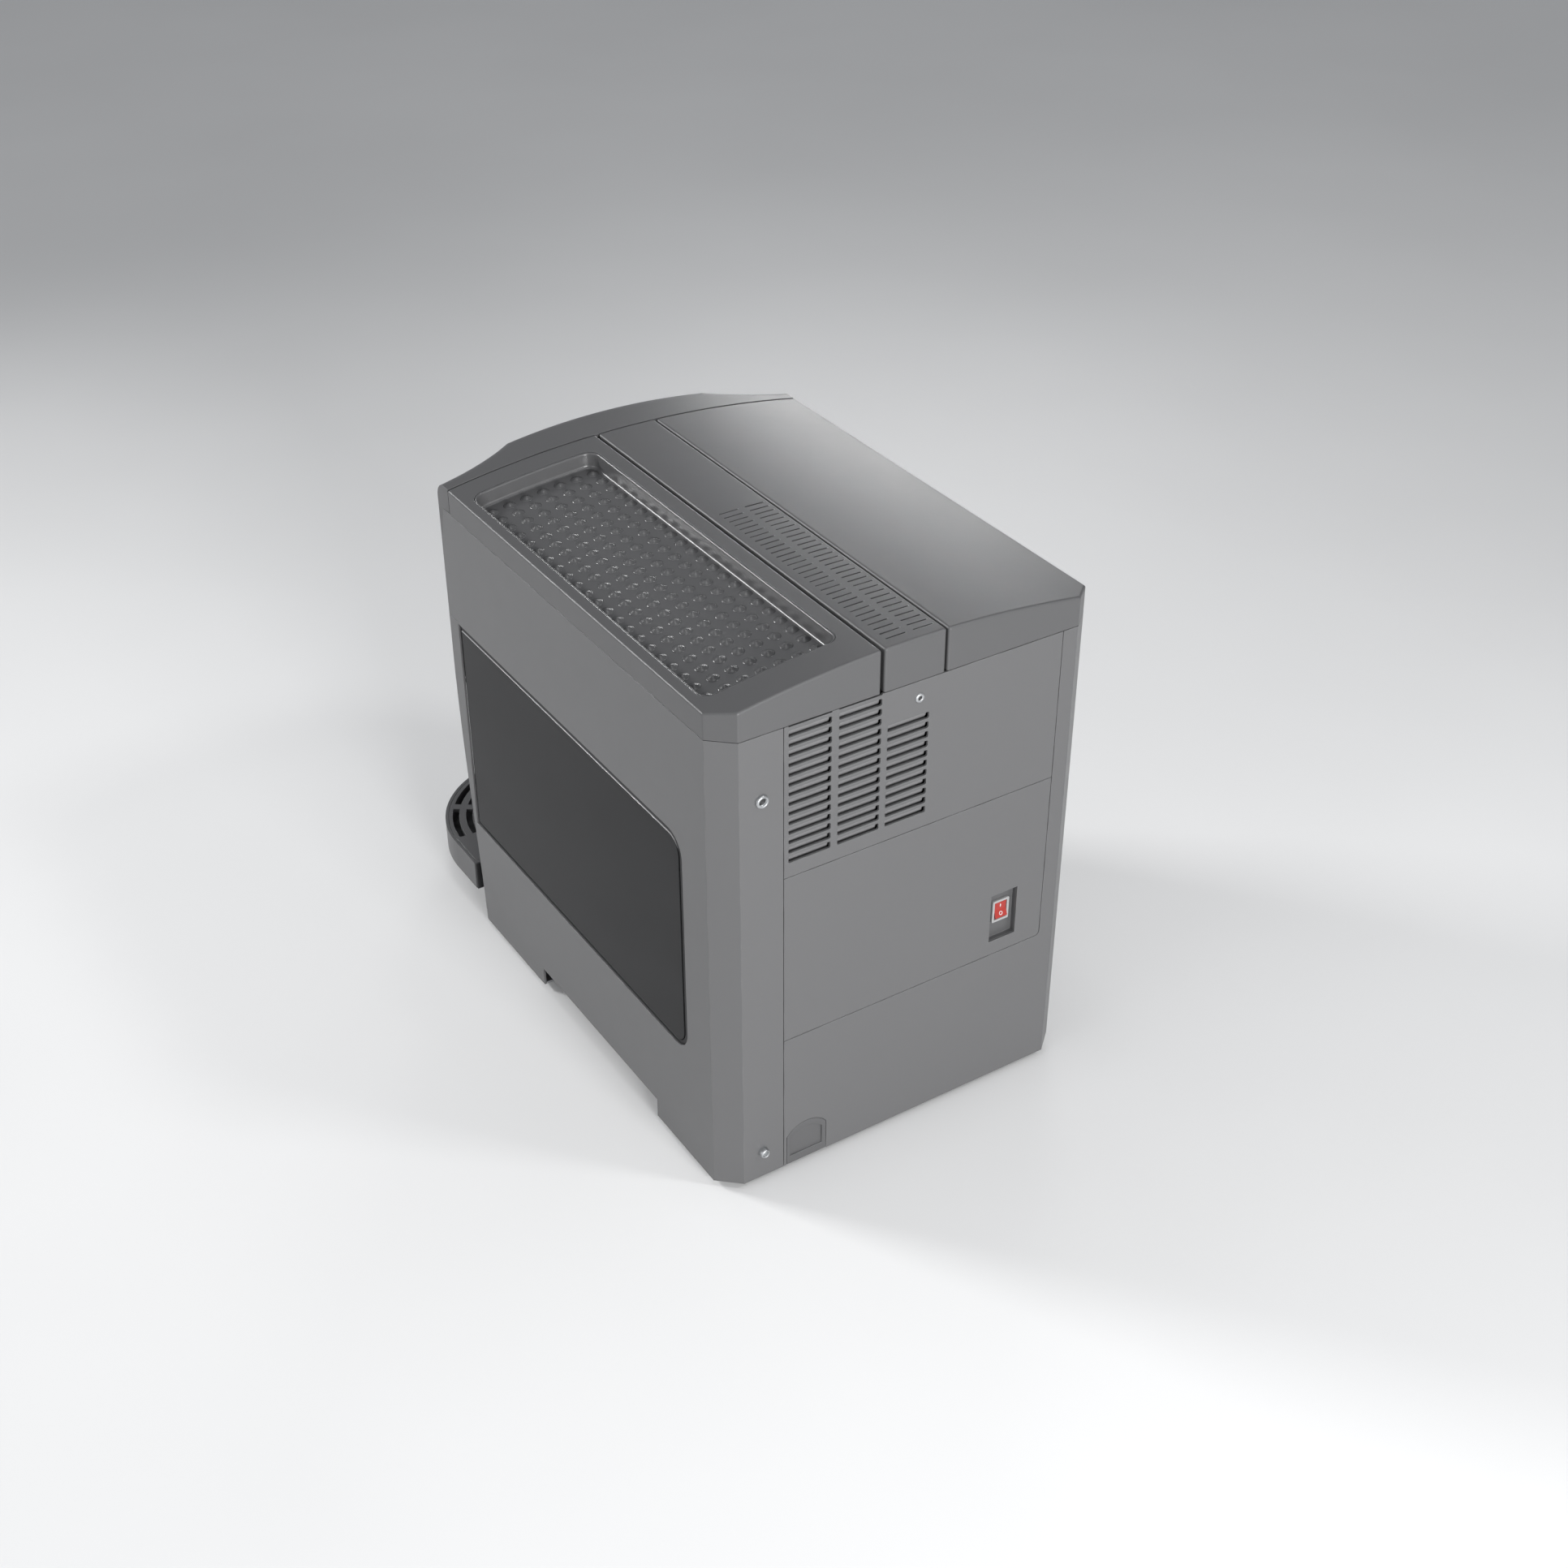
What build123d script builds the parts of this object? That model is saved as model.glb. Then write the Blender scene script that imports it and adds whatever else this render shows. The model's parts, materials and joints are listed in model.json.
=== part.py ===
from build123d import *
import math
import os

# Bench-top bean-to-cup coffee machine. Millimetres, +Z up, -Y is the front with the spout,
# +X is the side with the smoked water tank. Origin: centre of the housing, on the table.

# Housing
HALF_W = 173.0
REAR_Y = 218.0
CHAMFER_X = 19.0
CHAMFER_Y = 17.0
SKIN = 2.0
FOOT = 6.0
WALL_TOP = 436.0
GAP = 0.6
SLIT_Z = 330.3
SLIT_Y = -216.0
FRONT_PROFILE = (
    (-214.8, 0.0),
    (-224.6, 113.0),
    (-234.5, 230.0),
    (-236.0, 290.0),
    (-235.6, 350.0),
    (-233.6, 400.0),
    (-226.3, 436.0),
)

# Roof
CROWN_R = 960.0
CROWN_Z = 474.0
COVER_T = 3.0
COVER_EDGE_R = 2.0
COVER_FRONT = -215.0
SEAM_RIGHT = 29.7
SEAM_LEFT = -28.0
SEAM_RIGHT_GAP = 3.0
SEAM_LEFT_GAP = 2.0

# Cup warmer tray
TRAY_X = (46.0, 164.0)
TRAY_Y = (-191.0, 188.0)
TRAY_CORNER_R = 12.0
TRAY_DEPTH = 14.0
TRAY_T = 1.5
BUMP_COLUMNS = 7
BUMP_ROWS = 22
BUMP_PITCH_X = 15.9
BUMP_PITCH_Y = 16.4
BUMP_CENTRE = (103.0, -4.0)
BUMP_R = 5.0
BUMP_TIP_R = 2.4
BUMP_H = 2.2

# Fine slots in the middle cover
FINE_ROWS = 31
FINE_PITCH = 7.81
FINE_W = 1.5
FINE_L = 18.0
FINE_COLUMNS = (11.0, -13.4)
FINE_CENTRE_Y = 89.0

# Rear panels
REAR_SEAM_X = 116.0
REAR_GROOVE_X = -140.0
REAR_Z1 = 301.0
REAR_Z2 = 141.0
SHEET_CORNER_R = 4.0
VENT_PITCH = 8.6
VENT_H = 5.8
VENT_CORNER_R = 1.3
NOTCH_DEPTH = 0.9
VENT_COLUMNS = ((92.7, 37.6, 14), (48.7, 38.0, 14), (5.1, 38.0, 11))
VENT_LOW_Z = 314.4
LOUVRE_REACH = 4.5
LOUVRE_T = 1.2
SCREW_HOLE_R = 2.1
# Each screw: place across and up, head radius, head height, socket radius
UPPER_SCREW = (134.9, 379.7, 5.6, 2.6, 3.4)
LOWER_SCREW = (136.0, 33.5, 4.4, 5.0, 2.6)
PANEL_SCREW = (-4.4, 421.3, 4.0, 1.2, 1.9)

# Power switch
RECESS_X = (-112.8, -86.0)
RECESS_Z = (154.8, 202.5)
RECESS_DEPTH = 6.0
SWITCH_X = -99.8
SWITCH_Z = 180.8
BEZEL = (16.8, 21.6)
BEZEL_HOLE = (12.6, 17.4)
ROCKER_W = 11.8
ROCKER_HALF_H = 7.6
ROCKER_REST = 9.0

# Cable cover
ARCH_X = (74.0, 113.0)
ARCH_Z = (FOOT, 36.0, 46.5)
ARCH_CLEAR = 0.4
ARCH_RECESS_X = (78.3, 109.7)
ARCH_RECESS_Z = (14.4, 33.0, 40.5)
ARCH_RECESS_DEPTH = 1.2

# Side window and water tank
WINDOW_Y = (-219.0, 165.0)
WINDOW_Z = (115.4, 328.0)
WINDOW_R = 20.5
PANE_Y = (-216.2, 158.0)
PANE_Z = (118.2, 321.8)
PANE_R = 15.0
PANE_X = (167.8, 171.8)
GASKET_X = (166.0, 171.0)
GASKET_CLEAR = 0.4
TANK_WALL = 2.5
TANK_INNER_X = 72.0
TANK_FRONT_Y = -205.0
TANK_RIM_Z = 319.0
NOTCH_Y = (-98.5, 109.0)
NOTCH_TOP = 24.5

# Front fascia
FASCIA_Z = 262.0
FASCIA_FRONT = -264.0
FASCIA_KNEE = (98.0, -259.0)
FASCIA_OUTER_MID = (134.0, -243.0)
FASCIA_OUTER_END = (172.4, -237.5)
FASCIA_NOSE_R = 14.0
FASCIA_BACK = -205.0
FASCIA_T = 3.0
CHANNEL_W = 78.0
CHANNEL_Z = (150.0, 376.0)
DISPLAY_HALF_W = 62.0
DISPLAY_Z = (392.0, 442.0)
KEY_SPOTS = {"espresso": (-84.0, 430.0), "coffee": (84.0, 430.0), "water": (-84.0, 398.0), "power": (84.0, 398.0)}
KEY_R = 9.0
KEY_CLEAR = 0.4
KNOB_X = 82.0
KNOB_Z = 330.0
KNOB_R = 16.0

# Drip tray
TRAY_HALF_W = 173.5
TRAY_FRONT_Y = -379.0
TRAY_R = 104.4
TRAY_BACK_Y = -234.0
PAD_Y = -232.0
TRAY_TOP_Z = 59.8
TRAY_LOW_Z = 31.0
TONGUE_HALF_W = 148.0
TONGUE_Y = -70.0
GRILLE_T = 4.0
SLOT_RIM = 7.0
SLOT_W = 6.3
SLOT_PITCH = 13.0
SLOT_RINGS = 8
SLOT_FROM = 3.5
BAR_W = 8.0
BAR_ANGLES = (35.0, 68.0)
BAR_X = (-42.0, 0.0, 42.0)
FLOAT_SPOT = (72.0, -251.0)
FLOAT_R = 5.5

# Drawer, spout and wand
DRAWER_X = (-150.0, -44.0)
DRAWER_Z = (65.0, 170.0)
DRAWER_BACK = -62.0
SPOUT_Z = (262.0, 346.0)
WAND_SPOT = (118.0, -236.0)
WAND_BALL_Z = 252.0
WAND_BALL_R = 9.0
WAND_TUBE_R = 4.0
WAND_LOW_Z = 122.0

BOX_FROM_LOW = (Align.CENTER, Align.CENTER, Align.MIN)


def save(builder, label):
    builder.part.label = label
    export_step(builder.part, f"parts/{label}.step")


def slab(x, y, z, mode=Mode.ADD):
    # An upright box between the given limits along each axis
    with Locations(((x[0] + x[1]) / 2, (y[0] + y[1]) / 2, (z[0] + z[1]) / 2)):
        Box(x[1] - x[0], y[1] - y[0], z[1] - z[0], mode=mode)


def crown(drop, mode=Mode.INTERSECT):
    # The shallow barrel that the whole roof follows, lowered by the given depth
    with Locations((0, 0, CROWN_Z - CROWN_R)):
        Cylinder(CROWN_R - drop, 1200, rotation=(90, 0, 0), mode=mode)


def crown_z(x):
    return CROWN_Z - CROWN_R + math.sqrt(CROWN_R**2 - x**2)


def plan_outline(front):
    # Housing in plan: straight sides and two chamfered rear corners
    corner = REAR_Y - CHAMFER_Y
    inner = HALF_W - CHAMFER_X
    return [
        (-HALF_W, front),
        (HALF_W, front),
        (HALF_W, corner),
        (inner, REAR_Y),
        (-inner, REAR_Y),
        (-HALF_W, corner),
    ]


def cut_front(offset=0.0):
    # Removes what lies ahead of the raked, slightly bulging front edge of the side walls
    with BuildSketch(Plane.YZ.offset(-HALF_W - 10)) as ahead:
        with BuildLine():
            Spline(*[(y + offset, z) for y, z in FRONT_PROFILE])
            Polyline(
                (FRONT_PROFILE[-1][0] + offset, WALL_TOP),
                (FRONT_PROFILE[-1][0] + offset, WALL_TOP + 90),
                (-420, WALL_TOP + 90),
                (-420, 0),
                (FRONT_PROFILE[0][0] + offset, 0),
            )
        make_face()
    extrude(ahead.sketch, amount=2 * HALF_W + 20, mode=Mode.SUBTRACT)


def wall_plan(inset):
    # Housing walls in plan, running on past the front edge
    with BuildSketch() as plan:
        with BuildLine():
            Polyline(*plan_outline(-300), close=True)
        make_face()
        if inset:
            offset(amount=-inset, kind=Kind.INTERSECTION, mode=Mode.REPLACE)
    return plan.sketch


def cut_behind(offset=0.0):
    # Removes what lies behind that same front edge
    with BuildSketch(Plane.YZ.offset(-HALF_W - 10)) as behind:
        with BuildLine():
            Spline(*[(y + offset, z) for y, z in FRONT_PROFILE])
            Polyline(
                (FRONT_PROFILE[-1][0] + offset, WALL_TOP),
                (0, WALL_TOP),
                (0, 0),
                (FRONT_PROFILE[0][0] + offset, 0),
            )
        make_face()
    extrude(behind.sketch, amount=2 * HALF_W + 20, mode=Mode.SUBTRACT)


def shell_ring(z):
    # The bent sheet of the housing walls between two heights
    extrude(Plane.XY.offset(z[0]) * wall_plan(0), amount=z[1] - z[0])
    extrude(Plane.XY.offset(z[0]) * wall_plan(SKIN), amount=z[1] - z[0], mode=Mode.SUBTRACT)


def window_shape(y, z, radius, inset, x):
    # Side window outline: square at the front, rounded at the rear
    low, high = z[0] + inset, z[1] - inset
    front, back = y[0] + inset, y[1] - inset
    with BuildSketch(Plane.YZ.offset(x)) as shape:
        with Locations(((front + back) / 2, (low + high) / 2)):
            Rectangle(back - front, high - low)
        fillet(shape.vertices().sort_by(Axis.X)[-2:], radius=radius - inset)
    return shape.sketch


def pane_shape(inset, x):
    # The smoked pane, smaller than its opening so that a dark band shows all round
    return window_shape(PANE_Y, PANE_Z, PANE_R, inset, x)


def cover_plan(inset, x):
    # One roof cover in plan: straight front edge, chamfered rear corners, trimmed to its strip
    with BuildSketch() as plan:
        with BuildLine():
            Polyline(*plan_outline(COVER_FRONT), close=True)
        make_face()
        with Locations(((x[0] + x[1]) / 2, 0)):
            Rectangle(x[1] - x[0], 600, mode=Mode.INTERSECT)
        if inset:
            offset(amount=-inset, kind=Kind.INTERSECTION, mode=Mode.REPLACE)
    return plan.sketch


def cover_shell(x):
    # Arched lid with a skirt all round, hollow underneath
    extrude(Plane.XY.offset(WALL_TOP + GAP) * cover_plan(0, x), amount=60)
    crown(0)
    top_edges = edges().filter_by(lambda e: e.center().Z > WALL_TOP + 8)
    fillet(top_edges, radius=COVER_EDGE_R)
    with BuildPart(mode=Mode.PRIVATE) as inside:
        extrude(Plane.XY.offset(WALL_TOP - 5) * cover_plan(COVER_T, x), amount=60)
        crown(COVER_T)
    add(inside.part, mode=Mode.SUBTRACT)


def fascia_plan(inset):
    # Bulging front in plan: a broad middle arc and two hollow flanks
    knee_x, knee_y = FASCIA_KNEE
    mid_x, mid_y = FASCIA_OUTER_MID
    end_x, end_y = FASCIA_OUTER_END
    with BuildSketch() as plan:
        with BuildLine():
            ThreePointArc((-knee_x, knee_y), (0, FASCIA_FRONT), (knee_x, knee_y))
            ThreePointArc((knee_x, knee_y), (mid_x, mid_y), (end_x, end_y))
            Polyline((end_x, end_y), (end_x, FASCIA_BACK), (-end_x, FASCIA_BACK), (-end_x, end_y))
            ThreePointArc((-end_x, end_y), (-mid_x, mid_y), (-knee_x, knee_y))
        make_face()
        if inset:
            offset(amount=-inset, kind=Kind.INTERSECTION, mode=Mode.REPLACE)
    return plan.sketch


def tray_plan(inset, back_inset):
    # Drip tray in plan: a straight back and two broad round front corners
    half, front, back = TRAY_HALF_W - inset, TRAY_FRONT_Y + inset, TRAY_BACK_Y - back_inset
    with BuildSketch() as plan:
        with Locations((0, (front + back) / 2)):
            Rectangle(2 * half, back - front)
        fillet(plan.vertices().sort_by(Axis.Y)[:2], radius=TRAY_R - inset)
    return plan.sketch


def arch_shape(x, z, inset, y):
    # Arch-topped outline low on the back, from its sides and its foot, spring and crown heights
    left, right = x[0] + inset, x[1] - inset
    foot, spring, top = z[0] + inset, z[1], z[2] - inset
    with BuildSketch(Plane.XZ.offset(-y)) as shape:
        with BuildLine():
            Polyline((left, spring), (left, foot), (right, foot), (right, spring))
            ThreePointArc((right, spring), ((left + right) / 2, top), (left, spring))
        make_face()
    return shape.sketch


def rod_y(x, z, y, radius, mode=Mode.ADD):
    # Round bar along Y between two y values
    with Locations((x, (y[0] + y[1]) / 2, z)):
        Cylinder(radius, y[1] - y[0], rotation=(90, 0, 0), mode=mode)


def rod_z(x, y, z, radius, mode=Mode.ADD):
    # Round bar along Z between two heights
    with Locations((x, y, (z[0] + z[1]) / 2)):
        Cylinder(radius, z[1] - z[0], mode=mode)


os.makedirs("parts", exist_ok=True)

# Base plate, standing on four corner feet and a middle one
BASE_X = (-170.5, 170.5)
BASE_Y = (-204.0, 198.0)
with BuildPart() as base_plate:
    slab(BASE_X, BASE_Y, (FOOT, FOOT + SKIN))
    for side in (-1, 1):
        slab(sorted((side * 148, side * 180)), NOTCH_Y, (0, 20), mode=Mode.SUBTRACT)
save(base_plate, "base_plate")

FOOT_X = 145.0
FOOT_Y = 178.0
FOOT_R = 14.0
with BuildPart() as feet:
    with GridLocations(2 * FOOT_X, 2 * FOOT_Y, 2, 2):
        Cylinder(FOOT_R, FOOT, align=BOX_FROM_LOW)
    Cylinder(FOOT_R, FOOT, align=BOX_FROM_LOW)
    fillet(feet.edges().group_by(Axis.Z)[0], radius=1.5)
save(feet, "feet")

# Side walls, bent round the rear corners
with BuildPart() as right_panel:
    shell_ring((FOOT, WALL_TOP))
    slab((REAR_SEAM_X, 200), (-400, 400), (0, 600), mode=Mode.INTERSECT)
    cut_front()
    extrude(window_shape(WINDOW_Y, WINDOW_Z, WINDOW_R, 0, HALF_W - 10), amount=20, mode=Mode.SUBTRACT)
    slab((HALF_W - 10, HALF_W + 10), NOTCH_Y, (0, NOTCH_TOP), mode=Mode.SUBTRACT)
    slab((HALF_W - 10, HALF_W + 10), (-400, SLIT_Y), (SLIT_Z - GAP / 2, SLIT_Z + GAP / 2), mode=Mode.SUBTRACT)
    for x, z, *_ in (UPPER_SCREW, LOWER_SCREW):
        rod_y(x, z, (REAR_Y - 10, REAR_Y + 10), SCREW_HOLE_R, mode=Mode.SUBTRACT)
save(right_panel, "right_panel")

with BuildPart() as left_panel:
    shell_ring((FOOT, WALL_TOP))
    slab((-200, CHAMFER_X - HALF_W), (-400, 400), (0, 600), mode=Mode.INTERSECT)
    cut_front()
    slab((-HALF_W - 10, 10 - HALF_W), NOTCH_Y, (0, NOTCH_TOP), mode=Mode.SUBTRACT)
save(left_panel, "left_panel")

# Rear panels
REAR_SHEET = (REAR_Y - SKIN, REAR_Y)
PANEL_X = (REAR_GROOVE_X + GAP, REAR_SEAM_X - GAP)
vent_slots = [
    (x, VENT_LOW_Z + row * VENT_PITCH, length)
    for x, length, rows in VENT_COLUMNS
    for row in range(rows)
]
with BuildPart() as rear_panel_vent:
    slab(PANEL_X, REAR_SHEET, (REAR_Z1 + GAP / 2, WALL_TOP))
    with BuildSketch(Plane.XZ.offset(-REAR_Y - 1)):
        for x, z, length in vent_slots:
            with Locations((x, z + VENT_H / 2)):
                RectangleRounded(length, VENT_H, VENT_CORNER_R)
        with Locations(PANEL_SCREW[:2]):
            Circle(SCREW_HOLE_R)
    extrude(amount=SKIN + 3, mode=Mode.SUBTRACT)
    for x, length, _ in VENT_COLUMNS[:2]:
        slab(
            (x - length / 2, x + length / 2),
            (REAR_Y - 5, REAR_Y + 5),
            (WALL_TOP - NOTCH_DEPTH, WALL_TOP + 1),
            mode=Mode.SUBTRACT,
        )
save(rear_panel_vent, "rear_panel_vent")

# Vanes behind the vent slots, each falling inwards from the top of its slot
with BuildPart() as vent_louvres:
    for x, z, length in vent_slots:
        with BuildSketch(Plane.YZ.offset(x - length / 2 - 0.5)):
            with BuildLine():
                Polyline(
                    (REAR_Y - SKIN, z + VENT_H),
                    (REAR_Y - SKIN, z + VENT_H + LOUVRE_T),
                    (REAR_Y - SKIN - LOUVRE_REACH, z + LOUVRE_T),
                    (REAR_Y - SKIN - LOUVRE_REACH, z),
                    close=True,
                )
            make_face()
        extrude(amount=length + 1)
save(vent_louvres, "vent_louvres")

with BuildPart() as rear_panel_middle:
    slab(PANEL_X, REAR_SHEET, (REAR_Z2 + GAP / 2, REAR_Z1 - GAP / 2))
    groove_corner = rear_panel_middle.edges().filter_by(Axis.Y).group_by(Axis.Z)[0].sort_by(Axis.X)[0]
    fillet(groove_corner, radius=SHEET_CORNER_R)
    slab(RECESS_X, (REAR_Y - 10, REAR_Y + 5), RECESS_Z, mode=Mode.SUBTRACT)
save(rear_panel_middle, "rear_panel_middle")

# Lower rear sheet, carried up beside the other two as a narrow strip
with BuildPart() as rear_panel_lower:
    slab((CHAMFER_X - HALF_W, REAR_SEAM_X - GAP), REAR_SHEET, (FOOT, REAR_Z2 - GAP / 2))
    slab((CHAMFER_X - HALF_W, REAR_GROOVE_X), REAR_SHEET, (REAR_Z2 - GAP, WALL_TOP))
    inner_corner = rear_panel_lower.edges().filter_by(Axis.Y).filter_by(
        lambda e: abs(e.center().X - REAR_GROOVE_X) < 1 and abs(e.center().Z - REAR_Z2) < 1
    )
    fillet(inner_corner, radius=SHEET_CORNER_R)
    extrude(arch_shape(ARCH_X, ARCH_Z, 0, REAR_Y - 10), amount=-20, mode=Mode.SUBTRACT)
save(rear_panel_lower, "rear_panel_lower")

with BuildPart() as rear_screws:
    for x, z, head_r, head_h, socket_r in (UPPER_SCREW, LOWER_SCREW, PANEL_SCREW):
        rod_y(x, z, (REAR_Y, REAR_Y + head_h), head_r)
        rod_y(x, z, (REAR_Y - 9, REAR_Y + 0.5), SCREW_HOLE_R - 0.1)
        with BuildSketch(Plane.XZ.offset(-REAR_Y - head_h)):
            with Locations((x, z)):
                RegularPolygon(socket_r, 6)
        extrude(amount=head_h - 0.6, mode=Mode.SUBTRACT)
save(rear_screws, "rear_screws")

# Power switch in its shallow well
with BuildPart() as switch_well:
    back = REAR_Y - RECESS_DEPTH
    slab(
        (RECESS_X[0] - 1.5, RECESS_X[1] + 1.5),
        (back - 1.5, REAR_Y - SKIN),
        (RECESS_Z[0] - 1.5, RECESS_Z[1] + 1.5),
    )
    slab(RECESS_X, (back, REAR_Y), RECESS_Z, mode=Mode.SUBTRACT)
    slab(
        (SWITCH_X - BEZEL[0] / 2 + 1.2, SWITCH_X + BEZEL[0] / 2 - 1.2),
        (back - 5, back + 5),
        (SWITCH_Z - BEZEL[1] / 2 + 1.2, SWITCH_Z + BEZEL[1] / 2 - 1.2),
        mode=Mode.SUBTRACT,
    )
save(switch_well, "switch_well")

WELL_FLOOR = REAR_Y - RECESS_DEPTH
with BuildPart() as switch_housing:
    with Locations((SWITCH_X, WELL_FLOOR + 1, SWITCH_Z)):
        Box(BEZEL[0], 2, BEZEL[1])
    fillet(switch_housing.edges().filter_by(Axis.Y), radius=1.2)
    with Locations((SWITCH_X, WELL_FLOOR - 11, SWITCH_Z)):
        Box(BEZEL[0] - 2.8, 22, BEZEL[1] - 2.8)
    with Locations((SWITCH_X, WELL_FLOOR - 4, SWITCH_Z)):
        Box(BEZEL_HOLE[0], 12, BEZEL_HOLE[1], mode=Mode.SUBTRACT)
save(switch_housing, "switch_housing")

ROCKER_Y = WELL_FLOOR - 3.0
with BuildPart() as switch_rocker:
    with BuildSketch(Plane.YZ.offset(SWITCH_X - ROCKER_W / 2)):
        with BuildLine():
            Polyline(
                (-4.0, -ROCKER_HALF_H + 1.5),
                (5.8, -ROCKER_HALF_H),
                (4.2, 0),
                (5.8, ROCKER_HALF_H),
                (-4.0, ROCKER_HALF_H - 1.5),
                close=True,
            )
        make_face()
    extrude(amount=ROCKER_W)
    fillet(switch_rocker.edges().filter_by(Axis.X).group_by(Axis.Y)[-1], radius=0.6)
switch_rocker.part = switch_rocker.part.rotate(Axis((0, 0, 0), (1, 0, 0)), ROCKER_REST)
switch_rocker.part = switch_rocker.part.translate((0, ROCKER_Y, SWITCH_Z))
save(switch_rocker, "switch_rocker")

# Arch-topped cover over the mains inlet
with BuildPart() as cable_cover:
    extrude(arch_shape(ARCH_X, ARCH_Z, ARCH_CLEAR, REAR_Y - SKIN + 0.4), amount=-(SKIN - 0.4))
    extrude(
        arch_shape(ARCH_RECESS_X, ARCH_RECESS_Z, 0, REAR_Y - ARCH_RECESS_DEPTH), amount=-5, mode=Mode.SUBTRACT
    )
save(cable_cover, "cable_cover")

INLET = ((80.0, 108.0), (190.0, 214.0), (12.0, 34.0))
with BuildPart() as mains_inlet:
    slab(*INLET)
    slab((83, 105), (199, 215), (15, 31), mode=Mode.SUBTRACT)
    for x in (88.0, 94.0, 100.0):
        slab((x - 1, x + 1), (198.5, 210), (20, 25))
save(mains_inlet, "mains_inlet")

# Roof covers
RIGHT_COVER_X = (SEAM_RIGHT + SEAM_RIGHT_GAP / 2, HALF_W)
MIDDLE_COVER_X = (SEAM_LEFT + SEAM_LEFT_GAP / 2, SEAM_RIGHT - SEAM_RIGHT_GAP / 2)
LEFT_COVER_X = (-HALF_W, SEAM_LEFT - SEAM_LEFT_GAP / 2)
TRAY_SIZE = (TRAY_X[1] - TRAY_X[0], TRAY_Y[1] - TRAY_Y[0])
TRAY_MID = ((TRAY_X[0] + TRAY_X[1]) / 2, (TRAY_Y[0] + TRAY_Y[1]) / 2)

with BuildPart() as cup_cover:
    cover_shell(RIGHT_COVER_X)
    with BuildSketch(Plane.XY.offset(WALL_TOP)):
        with Locations(TRAY_MID):
            RectangleRounded(*TRAY_SIZE, TRAY_CORNER_R)
    extrude(amount=60, mode=Mode.SUBTRACT)
save(cup_cover, "cup_cover")

with BuildPart() as cup_tray:
    with BuildSketch(Plane.XY.offset(WALL_TOP - 10)):
        with Locations(TRAY_MID):
            RectangleRounded(TRAY_SIZE[0] - 0.2, TRAY_SIZE[1] - 0.2, TRAY_CORNER_R)
    extrude(amount=60)
    crown(0.4)
    with BuildPart(mode=Mode.PRIVATE) as bowl:
        with BuildSketch(Plane.XY.offset(WALL_TOP - 10)):
            with Locations(TRAY_MID):
                RectangleRounded(TRAY_SIZE[0] - 3.2, TRAY_SIZE[1] - 3.2, TRAY_CORNER_R - TRAY_T)
        extrude(amount=60)
        crown(TRAY_DEPTH, mode=Mode.SUBTRACT)
    add(bowl.part, mode=Mode.SUBTRACT)
    crown(TRAY_DEPTH + TRAY_T, mode=Mode.SUBTRACT)
    bump_spots = [
        (x, y, crown_z(x) - TRAY_DEPTH - 0.3)
        for x in [BUMP_CENTRE[0] + (i - (BUMP_COLUMNS - 1) / 2) * BUMP_PITCH_X for i in range(BUMP_COLUMNS)]
        for y in [BUMP_CENTRE[1] + (j - (BUMP_ROWS - 1) / 2) * BUMP_PITCH_Y for j in range(BUMP_ROWS)]
    ]
    with Locations(*bump_spots):
        Cone(BUMP_R, BUMP_TIP_R, BUMP_H, align=BOX_FROM_LOW)
save(cup_tray, "cup_tray")

with BuildPart() as vent_cover:
    cover_shell(MIDDLE_COVER_X)
    with BuildSketch(Plane.XY.offset(WALL_TOP)):
        for x in FINE_COLUMNS:
            with Locations((x, FINE_CENTRE_Y)):
                with GridLocations(1, FINE_PITCH, 1, FINE_ROWS):
                    SlotOverall(FINE_L, FINE_W)
    extrude(amount=60, mode=Mode.SUBTRACT)
save(vent_cover, "vent_cover")

with BuildPart() as hopper_lid:
    cover_shell(LEFT_COVER_X)
save(hopper_lid, "hopper_lid")

# Front fascia: hollow, open to the back, with a channel for the spout
CHANNEL_FLOOR = -247.0
CHANNEL_TOP = CHANNEL_Z[1]
HALF_CHANNEL = CHANNEL_W / 2
with BuildPart() as fascia:
    extrude(Plane.XY.offset(FASCIA_Z) * fascia_plan(0), amount=240)
    crown(0)
    nose = fascia.edges().filter_by(lambda e: e.center().Z > 440 and e.center().Y < -225)
    fillet(nose, radius=FASCIA_NOSE_R)
    with BuildPart(mode=Mode.PRIVATE) as inside:
        extrude(Plane.XY.offset(FASCIA_Z + FASCIA_T) * fascia_plan(FASCIA_T), amount=240)
        crown(FASCIA_T)
        inner_nose = inside.edges().filter_by(lambda e: e.center().Z > 440 and e.center().Y < -225)
        fillet(inner_nose, radius=FASCIA_NOSE_R - FASCIA_T)
    add(inside.part, mode=Mode.SUBTRACT)
    cut_behind(-GAP)
    slab((-400, 400), (COVER_FRONT - GAP, -180), (WALL_TOP - 1, 500), mode=Mode.SUBTRACT)
    slab((-HALF_CHANNEL - 3, HALF_CHANNEL + 3), (-263, -244), (FASCIA_Z, CHANNEL_TOP + 3))
    slab((-HALF_CHANNEL, HALF_CHANNEL), (-300, -230), (FASCIA_Z - 5, CHANNEL_TOP), mode=Mode.SUBTRACT)
    slab((-DISPLAY_HALF_W, DISPLAY_HALF_W), (-300, -245), DISPLAY_Z, mode=Mode.SUBTRACT)
    rod_y(KNOB_X, KNOB_Z, (-263, -252), KNOB_R + 2)
    rod_y(KNOB_X, KNOB_Z, (-270, -245), 3.1, mode=Mode.SUBTRACT)
    for x, z in KEY_SPOTS.values():
        rod_y(x, z, (-290, -245), KEY_R + KEY_CLEAR, mode=Mode.SUBTRACT)
save(fascia, "fascia")

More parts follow.
